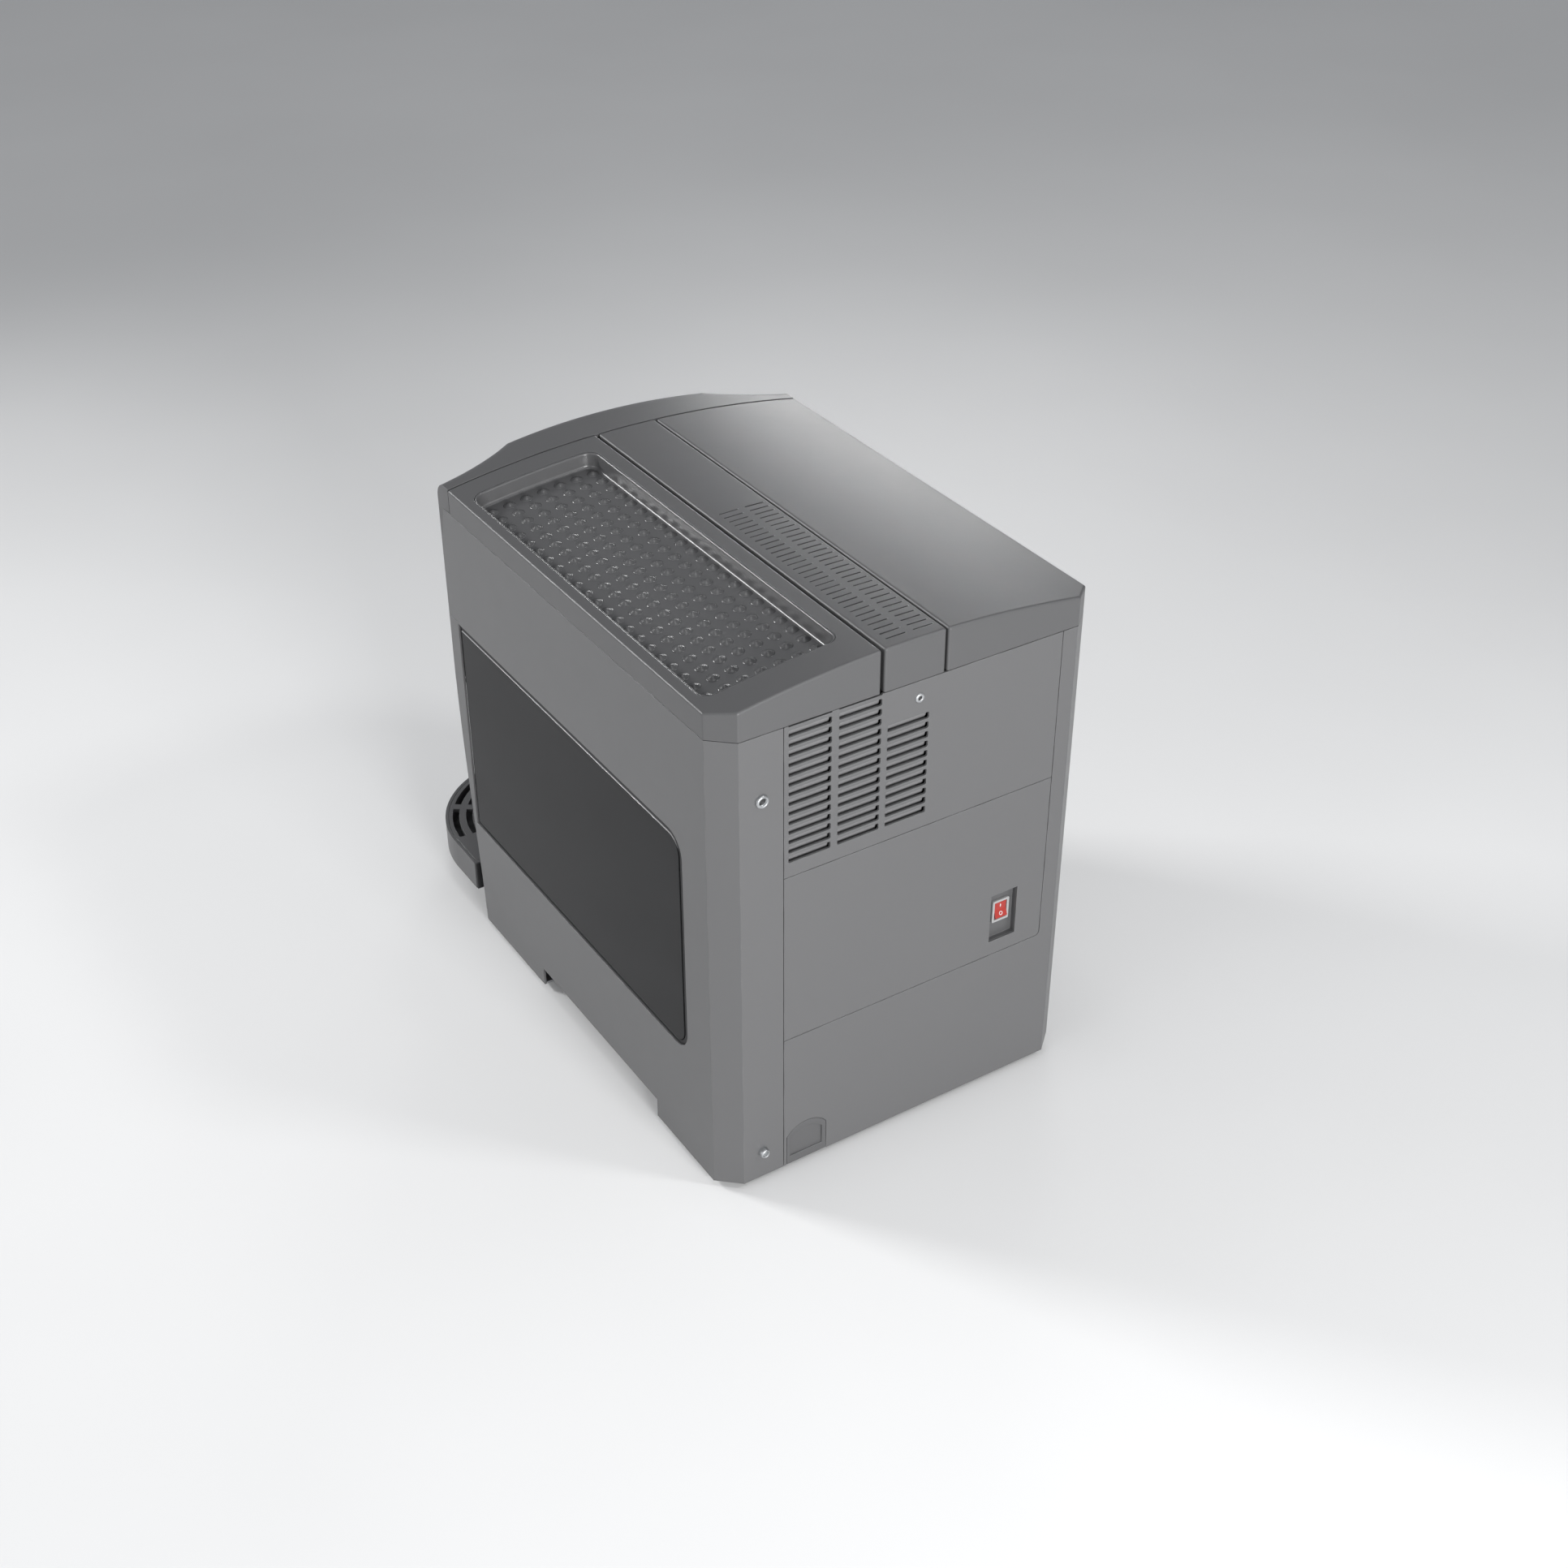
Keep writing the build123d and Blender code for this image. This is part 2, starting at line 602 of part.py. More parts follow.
with BuildPart() as display_glass:
    extrude(Plane.XY.offset(DISPLAY_Z[0] + 0.4) * fascia_plan(0.3), amount=DISPLAY_Z[1] - DISPLAY_Z[0] - 0.8)
    with BuildPart(mode=Mode.PRIVATE) as hollow:
        extrude(Plane.XY.offset(DISPLAY_Z[0]) * fascia_plan(FASCIA_T), amount=60)
    add(hollow.part, mode=Mode.SUBTRACT)
    slab((0.4 - DISPLAY_HALF_W, DISPLAY_HALF_W - 0.4), (-300, -245), (0, 600), mode=Mode.INTERSECT)
save(display_glass, "display_glass")

KEY_Y = (-261.5, -245.2)
with BuildPart() as control_board:
    slab((-96, 96), (-243, -241.4), (388, 444))
    for x, z in KEY_SPOTS.values():
        slab((x - 3, x + 3), (-241.4, -238), (z - 3, z + 3))
    slab((-40, 40), (-241.4, -236), (398, 436))
save(control_board, "control_board")

for label, (x, z) in KEY_SPOTS.items():
    with BuildPart() as key:
        rod_y(x, z, KEY_Y, KEY_R)
        fillet(key.edges().sort_by(Axis.Y)[0], radius=1.5)
    save(key, "key_" + label)

with BuildPart() as steam_knob:
    rod_y(KNOB_X, KNOB_Z, (-282, -263.5), KNOB_R)
    fillet(steam_knob.edges().sort_by(Axis.Y)[0], radius=2)
    slab((KNOB_X - 1.5, KNOB_X + 1.5), (-285, -281), (KNOB_Z - KNOB_R + 4, KNOB_Z + KNOB_R - 4))
    rod_y(KNOB_X, KNOB_Z, (-263.5, -246), 3.0)
save(steam_knob, "steam_knob")

# Cup bay: back wall and ceiling with the drawer opening, and the column that carries the spout
BAY_Y = (-212.0, -209.0)
BAY_HALF_W = 170.4
CEILING_Z = 259.0
TANK_SIDE_X = GASKET_X[0] - 0.4
with BuildPart() as bay_wall:
    slab((-BAY_HALF_W, BAY_HALF_W), BAY_Y, (61.4, FASCIA_Z - GAP))
    slab(
        (DRAWER_X[0] - 0.6, DRAWER_X[1] + 0.6),
        (-230, -200),
        (DRAWER_Z[0] - 0.6, DRAWER_Z[1] + 0.6),
        mode=Mode.SUBTRACT,
    )
    slab((-BAY_HALF_W, BAY_HALF_W), (-235, BAY_Y[0]), (CEILING_Z, FASCIA_Z - GAP))
    slab((TANK_SIDE_X - 3, TANK_SIDE_X), (WINDOW_Y[0], BAY_Y[0]), (WINDOW_Z[0], FASCIA_Z - GAP))
    slab((TANK_SIDE_X, HALF_W), (-240, -200), (WINDOW_Z[0] - 1, WINDOW_Z[1]), mode=Mode.SUBTRACT)
    slab((-36.6, 36.6), (-240, BAY_Y[0]), (CEILING_Z, FASCIA_Z), mode=Mode.SUBTRACT)
    rod_z(*WAND_SPOT, (CEILING_Z - 5, FASCIA_Z), 14.5, mode=Mode.SUBTRACT)
save(bay_wall, "bay_wall")

RAIL_X = (19.0, 25.0)
with BuildPart() as spout_column:
    slab((-36, 36), (-244, BAY_Y[0]), (CHANNEL_Z[0], FASCIA_Z - GAP))
    slab((-33, 33), (-241, -200), (CHANNEL_Z[0] + 3, FASCIA_Z - 4), mode=Mode.SUBTRACT)
    slab((-38, 38), (CHANNEL_FLOOR, -244), (CHANNEL_Z[0], CHANNEL_TOP - 0.5))
    for side in (-1, 1):
        slab(sorted((side * RAIL_X[0], side * RAIL_X[1])), (CHANNEL_FLOOR - 4, CHANNEL_FLOOR), (155, 370))
save(spout_column, "spout_column")

SPOUT_Y = (-322.0, CHANNEL_FLOOR - 0.6)
with BuildPart() as spout_carriage:
    with BuildSketch(Plane.XY.offset(SPOUT_Z[0])):
        with BuildLine():
            Polyline((-35, -300), (-35, SPOUT_Y[1]), (35, SPOUT_Y[1]), (35, -300))
            ThreePointArc((35, -300), (0, SPOUT_Y[0]), (-35, -300))
        make_face()
    extrude(amount=SPOUT_Z[1] - SPOUT_Z[0])
    fillet(spout_carriage.edges().filter_by(Axis.Z).filter_by(lambda e: e.center().Y < -299), radius=12)
    fillet(spout_carriage.edges().group_by(Axis.Z)[-1].filter_by(lambda e: e.center().Y < -250), radius=5)
    slab((-31, 31), (-304, -258), (SPOUT_Z[0], SPOUT_Z[1] - 12), mode=Mode.SUBTRACT)
    for side in (-1, 1):
        slab(
            sorted((side * (RAIL_X[0] - 0.6), side * (RAIL_X[1] + 0.6))),
            (CHANNEL_FLOOR - 4.6, -240),
            (200, 400),
            mode=Mode.SUBTRACT,
        )
save(spout_carriage, "spout_carriage")

NOZZLE_X = 15.0
NOZZLE_Y = -286.0
with BuildPart() as spout_nozzles:
    slab((-31, 31), (-303, -262), (SPOUT_Z[0] + 2, SPOUT_Z[0] + 6))
    for side in (-1, 1):
        rod_z(side * NOZZLE_X, NOZZLE_Y, (SPOUT_Z[0] - 18, SPOUT_Z[0] + 16), 6.5)
    for side in (-1, 1):
        rod_z(side * NOZZLE_X, NOZZLE_Y, (SPOUT_Z[0] - 20, SPOUT_Z[0] + 12), 4, mode=Mode.SUBTRACT)
save(spout_nozzles, "spout_nozzles")

# Steam wand on a ball under the fascia
WAND_X, WAND_Y = WAND_SPOT
with BuildPart() as wand_socket:
    rod_z(WAND_X, WAND_Y, (248, FASCIA_Z - 0.1), 14)
    with Locations((WAND_X, WAND_Y, WAND_BALL_Z)):
        Sphere(WAND_BALL_R + 0.3, mode=Mode.SUBTRACT)
save(wand_socket, "wand_socket")

WAND_PATH = ((WAND_X, WAND_Y, WAND_BALL_Z), (WAND_X, WAND_Y - 3, 205), (WAND_X, WAND_Y - 12, 165), (WAND_X, WAND_Y - 26, WAND_LOW_Z))
with BuildPart() as steam_wand:
    with BuildLine():
        wand_line = Spline(*WAND_PATH, tangents=((0, 0, -1), (0, -0.35, -1)))
    with BuildSketch(Plane(origin=wand_line @ 0, z_dir=wand_line % 0)):
        Circle(WAND_TUBE_R)
    sweep()
    with Locations((WAND_X, WAND_Y, WAND_BALL_Z)):
        Sphere(WAND_BALL_R)
    with Locations(Location(Plane(origin=wand_line @ 1, z_dir=wand_line % 1))):
        Cylinder(WAND_TUBE_R + 1.6, 12)
save(steam_wand, "steam_wand")

with BuildPart() as wand_grip:
    with BuildLine():
        whole_line = Spline(*WAND_PATH, tangents=((0, 0, -1), (0, -0.35, -1)), mode=Mode.PRIVATE)
        grip_line = whole_line.trim(0.28, 0.56)
        add(grip_line)
    with BuildSketch(Plane(origin=grip_line @ 0, z_dir=grip_line % 0)):
        Circle(WAND_TUBE_R + 4)
        Circle(WAND_TUBE_R + 0.02, mode=Mode.SUBTRACT)
    sweep()
save(wand_grip, "wand_grip")

# Drip tray with a tongue that catches rinse water under the brew group
with BuildPart() as drip_tray:
    extrude(Plane.XY.offset(TRAY_LOW_Z) * tray_plan(0, 0), amount=TRAY_TOP_Z - TRAY_LOW_Z)
    slab((-TONGUE_HALF_W, TONGUE_HALF_W), (TRAY_BACK_Y - 5, TONGUE_Y), (TRAY_LOW_Z, 57))
    extrude(Plane.XY.offset(TRAY_LOW_Z + 3) * tray_plan(3, 3), amount=40, mode=Mode.SUBTRACT)
    slab((3 - TONGUE_HALF_W, TONGUE_HALF_W - 3), (TRAY_BACK_Y - 5, TONGUE_Y - 3), (TRAY_LOW_Z + 3, 80), mode=Mode.SUBTRACT)
    with BuildPart(mode=Mode.PRIVATE) as ledge:
        extrude(Plane.XY.offset(50) * tray_plan(2.9, 2.9), amount=TRAY_TOP_Z - GRILLE_T - 50.2)
        extrude(Plane.XY.offset(50) * tray_plan(6, 6), amount=20, mode=Mode.SUBTRACT)
        slab((4 - TONGUE_HALF_W, TONGUE_HALF_W - 4), (-300, 0), (40, 80), mode=Mode.SUBTRACT)
    add(ledge.part)
save(drip_tray, "drip_tray")

CORNER_SPOT = (TRAY_HALF_W - TRAY_R, TRAY_FRONT_Y + TRAY_R)
with BuildPart() as drip_grille:
    extrude(Plane.XY.offset(TRAY_TOP_Z - GRILLE_T) * tray_plan(3.4, 3.4), amount=GRILLE_T)
    with BuildSketch(Plane.XY.offset(TRAY_TOP_Z - GRILLE_T - 1)):
        for ring in range(SLOT_RINGS):
            add(tray_plan(SLOT_RIM + ring * SLOT_PITCH, 0))
            add(tray_plan(SLOT_RIM + ring * SLOT_PITCH + SLOT_W, 0), mode=Mode.SUBTRACT)
        for x in BAR_X:
            with Locations((x, TRAY_FRONT_Y)):
                Rectangle(BAR_W, 2 * TRAY_R + 20, mode=Mode.SUBTRACT)
        for angle in BAR_ANGLES:
            for turn in (-angle, angle - 180):
                side = math.copysign(1, math.cos(math.radians(turn)))
                with Locations(Location((side * CORNER_SPOT[0], CORNER_SPOT[1], 0), (0, 0, turn))):
                    Rectangle(TRAY_R, BAR_W, align=(Align.MIN, Align.CENTER), mode=Mode.SUBTRACT)
        wing = TRAY_HALF_W * math.cos(math.radians(SLOT_FROM))
        drop = TRAY_HALF_W * math.sin(math.radians(SLOT_FROM))
        with BuildLine():
            Polyline(
                CORNER_SPOT,
                (CORNER_SPOT[0] + wing, CORNER_SPOT[1] - drop),
                (CORNER_SPOT[0] + wing, 2 * TRAY_FRONT_Y),
                (-CORNER_SPOT[0] - wing, 2 * TRAY_FRONT_Y),
                (-CORNER_SPOT[0] - wing, CORNER_SPOT[1] - drop),
                (-CORNER_SPOT[0], CORNER_SPOT[1]),
                close=True,
            )
        make_face(mode=Mode.INTERSECT)
    extrude(amount=GRILLE_T + 2, mode=Mode.SUBTRACT)
    rod_z(*FLOAT_SPOT, (40, 70), FLOAT_R + 0.5, mode=Mode.SUBTRACT)
save(drip_grille, "drip_grille")

with BuildPart() as tray_end_pads:
    for side in (-1, 1):
        slab(
            sorted((side * (TONGUE_HALF_W + 1), side * (TRAY_HALF_W - 0.5))),
            (TRAY_BACK_Y, PAD_Y),
            (TRAY_LOW_Z, TRAY_TOP_Z),
        )
save(tray_end_pads, "tray_end_pads")

with BuildPart() as tray_float:
    rod_z(*FLOAT_SPOT, (36, 57), FLOAT_R)
    rod_z(*FLOAT_SPOT, (34.2, 46), 12)
    fillet(tray_float.edges().sort_by(Axis.Z)[-1], radius=1.5)
save(tray_float, "tray_float")

with BuildPart() as tray_supports:
    with BuildSketch(Plane.XY.offset(24)):
        with Locations((0, -279)):
            Rectangle(260, 138)
    extrude(amount=6.6)
    fillet(tray_supports.edges().filter_by(Axis.Z).sort_by(Axis.Y)[:2], radius=50)
    slab((-BAY_HALF_W, BAY_HALF_W), (-212, -209.6), (FOOT, 30.6))
    for side in (-1, 1):
        slab(sorted((side * 138, side * 144)), (-204, TONGUE_Y), (FOOT + SKIN, 30.6))
save(tray_supports, "tray_supports")

# Grounds drawer in its bay
with BuildPart() as drawer_bay:
    slab((DRAWER_X[0] - 4, DRAWER_X[1] + 4), (-208.8, DRAWER_BACK + 4), (61.6, 172))
    slab((DRAWER_X[0] - 0.6, DRAWER_X[1] + 0.6), (-220, DRAWER_BACK + 1), (64.4, 190), mode=Mode.SUBTRACT)
save(drawer_bay, "drawer_bay")

with BuildPart() as grounds_drawer:
    slab((DRAWER_X[0] + 1, DRAWER_X[1] - 1), (-206, DRAWER_BACK), (DRAWER_Z[0], DRAWER_Z[1] - 6))
    slab((DRAWER_X[0] + 3.5, DRAWER_X[1] - 3.5), (-203.5, DRAWER_BACK - 2.5), (DRAWER_Z[0] + 2.5, 200), mode=Mode.SUBTRACT)
save(grounds_drawer, "grounds_drawer")

with BuildPart() as drawer_front:
    slab(DRAWER_X, (-214, -206), DRAWER_Z)
    fillet(drawer_front.edges().group_by(Axis.Y)[0], radius=1.5)
    slab((DRAWER_X[0] + 18, DRAWER_X[1] - 18), (-224, -213), (DRAWER_Z[1] - 12, DRAWER_Z[1] - 5))
save(drawer_front, "drawer_front")

# Partition, and the bay that the water tank slides into
PARTITION_X = (60.0, 62.5)
with BuildPart() as partition:
    slab(PARTITION_X, (-205, 170), (FOOT + SKIN, 430))
    slab((PARTITION_X[0] - 5, PARTITION_X[1] + 5), (-206, TONGUE_Y + 2), (0, 60), mode=Mode.SUBTRACT)
save(partition, "partition")

VALVE = (20.0, 140.0)
with BuildPart() as tank_bay:
    slab((PARTITION_X[1], TANK_SIDE_X), (-206, 166), (113.5, 117.4))
    slab((PARTITION_X[1], TANK_SIDE_X), (163.2, 166), (117.4, 330))
    slab((PARTITION_X[1], TANK_SIDE_X), (-208.8, 166), (330, 332.6))
    slab((PARTITION_X[1], TANK_SIDE_X), (-208.8, -206.4), (FASCIA_Z + 4, 330))
    with Locations((66, *VALVE)):
        Cylinder(11, 7, rotation=(0, 90, 0))
        Cylinder(6.4, 20, rotation=(0, 90, 0), mode=Mode.SUBTRACT)
save(tank_bay, "tank_bay")

with BuildPart() as window_gasket:
    extrude(
        window_shape(WINDOW_Y, WINDOW_Z, WINDOW_R, GASKET_CLEAR, GASKET_X[0]), amount=GASKET_X[1] - GASKET_X[0]
    )
    extrude(pane_shape(-GASKET_CLEAR, GASKET_X[0] - 1), amount=20, mode=Mode.SUBTRACT)
save(window_gasket, "window_gasket")

with BuildPart() as tank_window:
    extrude(pane_shape(0, PANE_X[0]), amount=PANE_X[1] - PANE_X[0])
    fillet(tank_window.edges().group_by(Axis.X)[-1], radius=0.8)
save(tank_window, "tank_window")

with BuildPart() as tank_shell:
    extrude(pane_shape(0.6, TANK_INNER_X), amount=PANE_X[0] - TANK_INNER_X)
    slab((0, 300), (TANK_FRONT_Y, 300), (0, TANK_RIM_Z), mode=Mode.INTERSECT)
    with BuildPart(mode=Mode.PRIVATE) as water_space:
        extrude(pane_shape(0.6 + TANK_WALL, TANK_INNER_X + TANK_WALL), amount=120)
        slab((0, 300), (TANK_FRONT_Y + TANK_WALL, 300), (0, 600), mode=Mode.INTERSECT)
    add(water_space.part, mode=Mode.SUBTRACT)
save(tank_shell, "tank_shell")

with BuildPart() as tank_filter:
    slab((140, 164), (-108, -64), (122, 306))
    fillet(tank_filter.edges().filter_by(Axis.Z), radius=5)
save(tank_filter, "tank_filter")

with BuildPart() as tank_valve:
    with Locations((69.5, *VALVE)):
        Cylinder(6, 5, rotation=(0, 90, 0))
save(tank_valve, "tank_valve")

# Bean hopper, deck, grinder and its dial
HOPPER_MID = (-110.0, -45.0)
with BuildPart() as bean_hopper:
    with BuildSketch(Plane.XY.offset(434.5)):
        with Locations(HOPPER_MID):
            RectangleRounded(100, 200, 14)
    with BuildSketch(Plane.XY.offset(350)):
        with Locations(HOPPER_MID):
            RectangleRounded(62, 90, 14)
    loft()
    with BuildPart(mode=Mode.PRIVATE) as bean_space:
        with BuildSketch(Plane.XY.offset(434.6)):
            with Locations(HOPPER_MID):
                RectangleRounded(95, 195, 12)
        with BuildSketch(Plane.XY.offset(352.5)):
            with Locations(HOPPER_MID):
                RectangleRounded(56, 84, 12)
        loft()
    add(bean_space.part, mode=Mode.SUBTRACT)
    rod_z(*HOPPER_MID, (340, 360), 22, mode=Mode.SUBTRACT)
save(bean_hopper, "bean_hopper")

DIAL_SPOT = (-110.0, 120.0)
with BuildPart() as hopper_deck:
    slab((-168, -31), (-204, 194), (429.5, 432))
    with BuildSketch(Plane.XY.offset(420)):
        with Locations(HOPPER_MID):
            RectangleRounded(100.6, 200.6, 14)
        with Locations(DIAL_SPOT):
            Circle(4.3)
    extrude(amount=30, mode=Mode.SUBTRACT)
save(hopper_deck, "hopper_deck")

with BuildPart() as grind_dial:
    rod_z(*DIAL_SPOT, (432.4, 442), 17)
    fillet(grind_dial.edges().sort_by(Axis.Z)[-1], radius=1.5)
    with Locations((*DIAL_SPOT, 443)):
        Box(4, 26, 8)
    rod_z(*DIAL_SPOT, (424, 433), 4)
save(grind_dial, "grind_dial")

with BuildPart() as grinder:
    rod_z(*HOPPER_MID, (238, 349.6), 38)
    rod_z(*HOPPER_MID, (330, 360), 27, mode=Mode.SUBTRACT)
    rod_z(*HOPPER_MID, (228, 238), 24)
    slab((HOPPER_MID[0] - 12, HOPPER_MID[0] + 12), (-88, -78), (300, 318))
save(grinder, "grinder")

with BuildPart() as grinder_burr:
    with Locations((*HOPPER_MID, 331)):
        Cone(26, 14, 14, align=BOX_FROM_LOW)
    rod_z(*HOPPER_MID, (330.5, 349), 5)
save(grinder_burr, "grinder_burr")

with BuildPart() as brew_group:
    slab((-146, -58), (-192, -92), (180, 262))
    slab((-140, -64), (-186, -98), (262, 300))
    rod_z(-102, -142, (300, 330), 27)
    fillet(brew_group.edges().group_by(Axis.Z)[-1], radius=3)
save(brew_group, "brew_group")

BOILER_SPOT = (8.0, -160.0)
with BuildPart() as boiler:
    rod_z(*BOILER_SPOT, (118, 262), 34)
    fillet(boiler.edges().filter_by(GeomType.CIRCLE), radius=10)
    slab((BOILER_SPOT[0], PARTITION_X[0]), (-170, -150), (170, 210))
save(boiler, "boiler")

with BuildPart() as pump:
    rod_y(8, 54, (0, 96), 24)
    slab((-14, 30), (14, 82), (FOOT + SKIN, 34))
    rod_y(8, 54, (-12, 0), 8)
save(pump, "pump")

# Cooling fan behind the vents
FAN_X, FAN_Z = 10.0, 366.0
FAN_Y = (176.0, 201.0)
FAN_HALF = 40.0
with BuildPart() as fan_frame:
    slab((FAN_X - FAN_HALF, FAN_X + FAN_HALF), FAN_Y, (FAN_Z - FAN_HALF, FAN_Z + FAN_HALF))
    rod_y(FAN_X, FAN_Z, (FAN_Y[0] - 1, FAN_Y[1] + 1), 38, mode=Mode.SUBTRACT)
    rod_y(FAN_X, FAN_Z, (FAN_Y[0], FAN_Y[0] + 3), 16)
    slab((FAN_X - 39, FAN_X + 39), (FAN_Y[0], FAN_Y[0] + 3), (FAN_Z - 2.5, FAN_Z + 2.5))
    slab((FAN_X - 2.5, FAN_X + 2.5), (FAN_Y[0], FAN_Y[0] + 3), (FAN_Z - 39, FAN_Z + 39))
save(fan_frame, "fan_frame")

FAN_BLADES = 7
with BuildPart() as fan_rotor:
    rod_y(FAN_X, FAN_Z, (FAN_Y[0] + 3.5, FAN_Y[1] - 2), 15)
    for blade in range(FAN_BLADES):
        with Locations(Location((FAN_X, (FAN_Y[0] + FAN_Y[1]) / 2 + 1, FAN_Z), (0, blade * 360 / FAN_BLADES, 0))):
            with Locations(Location((24.5, 0, 0), (38, 0, 0))):
                Box(23, 1.6, 17)
save(fan_rotor, "fan_rotor")

with BuildPart() as power_board:
    slab((-64, 52), (198, 199.6), (146, 286))
    slab((-54, -20), (176, 198), (160, 200))
    slab((-6, 14), (184, 198), (156, 176))
    slab((20, 44), (188, 198), (200, 230))
    for z in (220.0, 246.0, 272.0):
        rod_y(-40, z, (178, 198), 8)
save(power_board, "power_board")

HOSE_R = 3.0
HOSE_PATHS = (
    (((8, -12.2, 54), (8, -46, 78), (8, -84, 146), (8, -125.4, 166)), ((0, -1, 0), (0, -1, 0))),
    (((59.6, 20, 140), (34, 28, 124), (8, 46, 78.8)), ((-1, 0, 0), (0, 0, -1))),
)
with BuildPart() as hoses:
    for path, ends in HOSE_PATHS:
        with BuildLine():
            hose_line = Spline(*path, tangents=ends)
        with BuildSketch(Plane(origin=hose_line @ 0, z_dir=hose_line % 0)):
            Circle(HOSE_R)
        sweep()
save(hoses, "hoses")
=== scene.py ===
import json
import math

import bmesh
import bpy
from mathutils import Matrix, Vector


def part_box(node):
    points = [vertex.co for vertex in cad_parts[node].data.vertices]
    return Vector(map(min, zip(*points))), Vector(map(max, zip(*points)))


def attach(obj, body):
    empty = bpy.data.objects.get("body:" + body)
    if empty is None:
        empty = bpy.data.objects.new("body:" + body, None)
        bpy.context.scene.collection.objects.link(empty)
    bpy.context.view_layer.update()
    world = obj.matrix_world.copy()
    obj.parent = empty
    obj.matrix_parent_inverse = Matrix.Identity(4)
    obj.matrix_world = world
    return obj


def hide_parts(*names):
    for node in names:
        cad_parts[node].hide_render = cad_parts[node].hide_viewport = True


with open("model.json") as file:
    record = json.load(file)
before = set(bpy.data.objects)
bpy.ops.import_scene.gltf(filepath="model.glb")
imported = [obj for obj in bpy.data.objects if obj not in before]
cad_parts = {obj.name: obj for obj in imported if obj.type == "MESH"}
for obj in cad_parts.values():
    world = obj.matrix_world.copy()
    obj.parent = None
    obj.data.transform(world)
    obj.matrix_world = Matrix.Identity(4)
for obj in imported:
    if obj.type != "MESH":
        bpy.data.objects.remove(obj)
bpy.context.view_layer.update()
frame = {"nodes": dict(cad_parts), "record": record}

NODES = frame["nodes"]
SCENE = bpy.context.scene
MM = 0.001

# ---------------------------------------------------------------- finishes


class Finish:
    """One shader: a Principled surface and the few nodes that give it grain, wear with painted edge highlights,
    and colour drift.
    """

    def __init__(self, name):
        self.material = bpy.data.materials.new(name)
        self.material.use_nodes = True
        self.tree = self.material.node_tree
        self.shader = self.tree.nodes["Principled BSDF"]
        self.where = self.tree.nodes.new("ShaderNodeTexCoord").outputs["Object"]

    def set(self, **values):
        for key, value in values.items():
            self.shader.inputs[key.replace("_", " ")].default_value = value
        return self

    def node(self, kind, inputs=None, **settings):
        made = self.tree.nodes.new(kind)
        for key, value in settings.items():
            setattr(made, key, value)
        for key, value in (inputs or {}).items():
            if isinstance(value, bpy.types.NodeSocket):
                self.tree.links.new(value, made.inputs[key])
            else:
                made.inputs[key].default_value = value
        return made

    def link(self, source, socket):
        self.tree.links.new(source, self.shader.inputs[socket])

    def noise(self, scale, detail=3.0, roughness=0.55, stretch=(1.0, 1.0, 1.0)):
        place = self.node("ShaderNodeMapping", {"Vector": self.where, "Scale": stretch})
        made = self.node(
            "ShaderNodeTexNoise",
            {"Vector": place.outputs["Vector"], "Scale": scale, "Detail": detail, "Roughness": roughness},
        )
        return made.outputs["Fac"]

    def span(self, value, low, high, to_low, to_high):
        made = self.node(
            "ShaderNodeMapRange",
            {"Value": value, "From Min": low, "From Max": high, "To Min": to_low, "To Max": to_high},
        )
        return made.outputs["Result"]

    def times(self, first, second):
        return self.node("ShaderNodeMath", {0: first, 1: second}, operation="MULTIPLY").outputs[0]

    def blend(self, factor, first, second):
        made = self.node("ShaderNodeMix", data_type="RGBA")
        for socket, value in (("Factor_Float", factor), ("A_Color", first), ("B_Color", second)):
            target = next(s for s in made.inputs if s.identifier == socket)
            if isinstance(value, bpy.types.NodeSocket):
                self.tree.links.new(value, target)
            else:
                target.default_value = value
        return next(s for s in made.outputs if s.identifier == "Result_Color")

    def round_edges(self, radius):
        return self.node("ShaderNodeBevel", {"Radius": radius}, samples=4).outputs["Normal"]

    def bump(self, height, strength, distance, normal=None):
        inputs = {"Height": height, "Strength": strength, "Distance": distance}
        if normal is not None:
            inputs["Normal"] = normal
        return self.node("ShaderNodeBump", inputs).outputs["Normal"]

    def edge_mask(self, rounded, sharpness=0.12):
        flat = self.node("ShaderNodeNewGeometry").outputs["Normal"]
        near = self.node("ShaderNodeVectorMath", {0: rounded, 1: flat}, operation="DOT_PRODUCT")
        return self.span(near.outputs["Value"], 1.0, 1.0 - sharpness, 0.0, 1.0)


def shade(colour, factor):
    return tuple(min(1.0, c * factor) for c in colour[:3]) + (1.0,)


